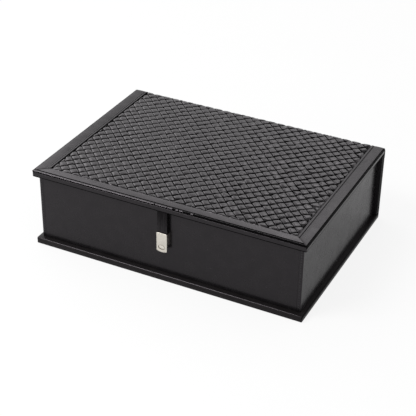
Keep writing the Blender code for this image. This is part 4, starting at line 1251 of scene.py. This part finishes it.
def pale_floor():
    """Matt white paper. For rays from the camera it is mixed towards plain white, so that only a faint
    shadow is left, and for reflections and glass a little of that white is mixed in as well."""
    material, tree, shader, place = new_material("pale_floor")
    tooth = spread(tree, noise(tree, place, 3 * MM), 0, 1)
    feed(shader, {"Base Color": two_colours(tree, tooth, *FLOOR_WHITES), "Roughness": 0.9,
                  "Specular IOR Level": 0.1})
    path = add(tree, "ShaderNodeLightPath").outputs
    seen = maths(tree, "MULTIPLY", path["Is Camera Ray"], FLOOR_SEEN)
    reflected = maths(tree, "MAXIMUM", path["Is Glossy Ray"], path["Is Transmission Ray"])
    share = maths(tree, "MULTIPLY_ADD", reflected, FLOOR_REFLECTED, seen)
    glow = add(tree, "ShaderNodeEmission", {"Strength": FLOOR_GLOW}).outputs[0]
    feed(tree.nodes["Material Output"], {"Surface": mixed(tree, share, shader.outputs[0], glow)})
    return material


floor_lines = np.linspace(-FLOOR_SIZE / 2, FLOOR_SIZE / 2, FLOOR_LINES)
floor_x, floor_y = np.meshgrid(floor_lines, floor_lines)
floor_points = np.stack([floor_x, floor_y, np.full_like(floor_x, FLOOR_Z)], -1).reshape(-1, 3)
floor_mesh = bpy.data.meshes.new("floor")
floor_mesh.from_pydata(floor_points.tolist(), [], grid_quads(FLOOR_LINES, FLOOR_LINES).tolist())
floor_mesh.materials.append(pale_floor())
floor = bpy.data.objects.new("floor", floor_mesh)
scene_collection.objects.link(floor)
floor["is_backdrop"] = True
print("Floor of", FLOOR_SIZE, "m by", FLOOR_SIZE, "m")

# %% Surround
SURROUND_LIGHT = 0.62
CEILING_HEIGHTS = (0.60, 0.80)
CEILING_LIGHT = 0.25


def white_surround(light):
    """White for the camera. Reflections see a white backdrop up to about 35 degrees above the horizon and
    a dimmer ceiling over it, by the height of the ray's direction. Diffuse light comes evenly from all
    round."""
    world = bpy.data.worlds.new("white_surround")
    world.use_nodes = True
    tree = world.node_tree
    tree.nodes.clear()
    path = add(tree, "ShaderNodeLightPath").outputs
    direction = add(tree, "ShaderNodeTexCoord").outputs["Generated"]
    height = add(tree, "ShaderNodeSeparateXYZ", {0: direction}).outputs["Z"]
    backdrop = spread(tree, height, 1.0, CEILING_LIGHT, *CEILING_HEIGHTS, interpolation_type="SMOOTHSTEP")
    room, plain, white = (
        add(tree, "ShaderNodeBackground", {"Color": (1, 1, 1, 1), "Strength": strength}).outputs[0]
        for strength in (backdrop, light, 1.0))
    shine = mixed(tree, path["Is Glossy Ray"], plain, room)
    straight = maths(tree, "MAXIMUM", path["Is Camera Ray"], path["Is Transmission Ray"])
    add(tree, "ShaderNodeOutputWorld", {"Surface": mixed(tree, straight, shine, white)})
    return world


bpy.context.scene.world = white_surround(SURROUND_LIGHT)
bpy.context.scene.view_settings.view_transform = "Standard"
print("White surround with an even light of", SURROUND_LIGHT)

# %% Lamps
LAMPS = (("front_lamp", (-0.75, -0.95, 1.45), 0.8, 16.0), ("left_lamp", (-1.80, 0.90, 1.15), 1.6, 9.5),
         ("back_lamp", (-0.37, 1.56, 1.40), 0.5, 1.1))


def soft_lamp(name, place, size, power):
    """A square soft lamp, size metres wide, that looks at the middle of the scene."""
    lamp = bpy.data.objects.new(name, bpy.data.lights.new(name, "AREA"))
    lamp.data.shape = "SQUARE"
    lamp.data.size = size
    lamp.data.energy = power
    back = place / np.linalg.norm(place)
    side = np.cross([0, 0, 1.0], back)
    side /= np.linalg.norm(side)
    stand(lamp, side, np.cross(back, side), back, place)
    print(f"{name}: {power} W, {np.linalg.norm(place):.2f} m away")


for name, place, size, power in LAMPS:
    soft_lamp(name, np.array(place), size, power)

# %% [markdown]
# ## Size
# The size of the dressed box is printed before the script ends. The dressed box has to keep the
# CAD's size.

# %% Sizes
low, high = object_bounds()
print("Visual box:", [round(v, 4) for v in low], [round(v, 4) for v in high])
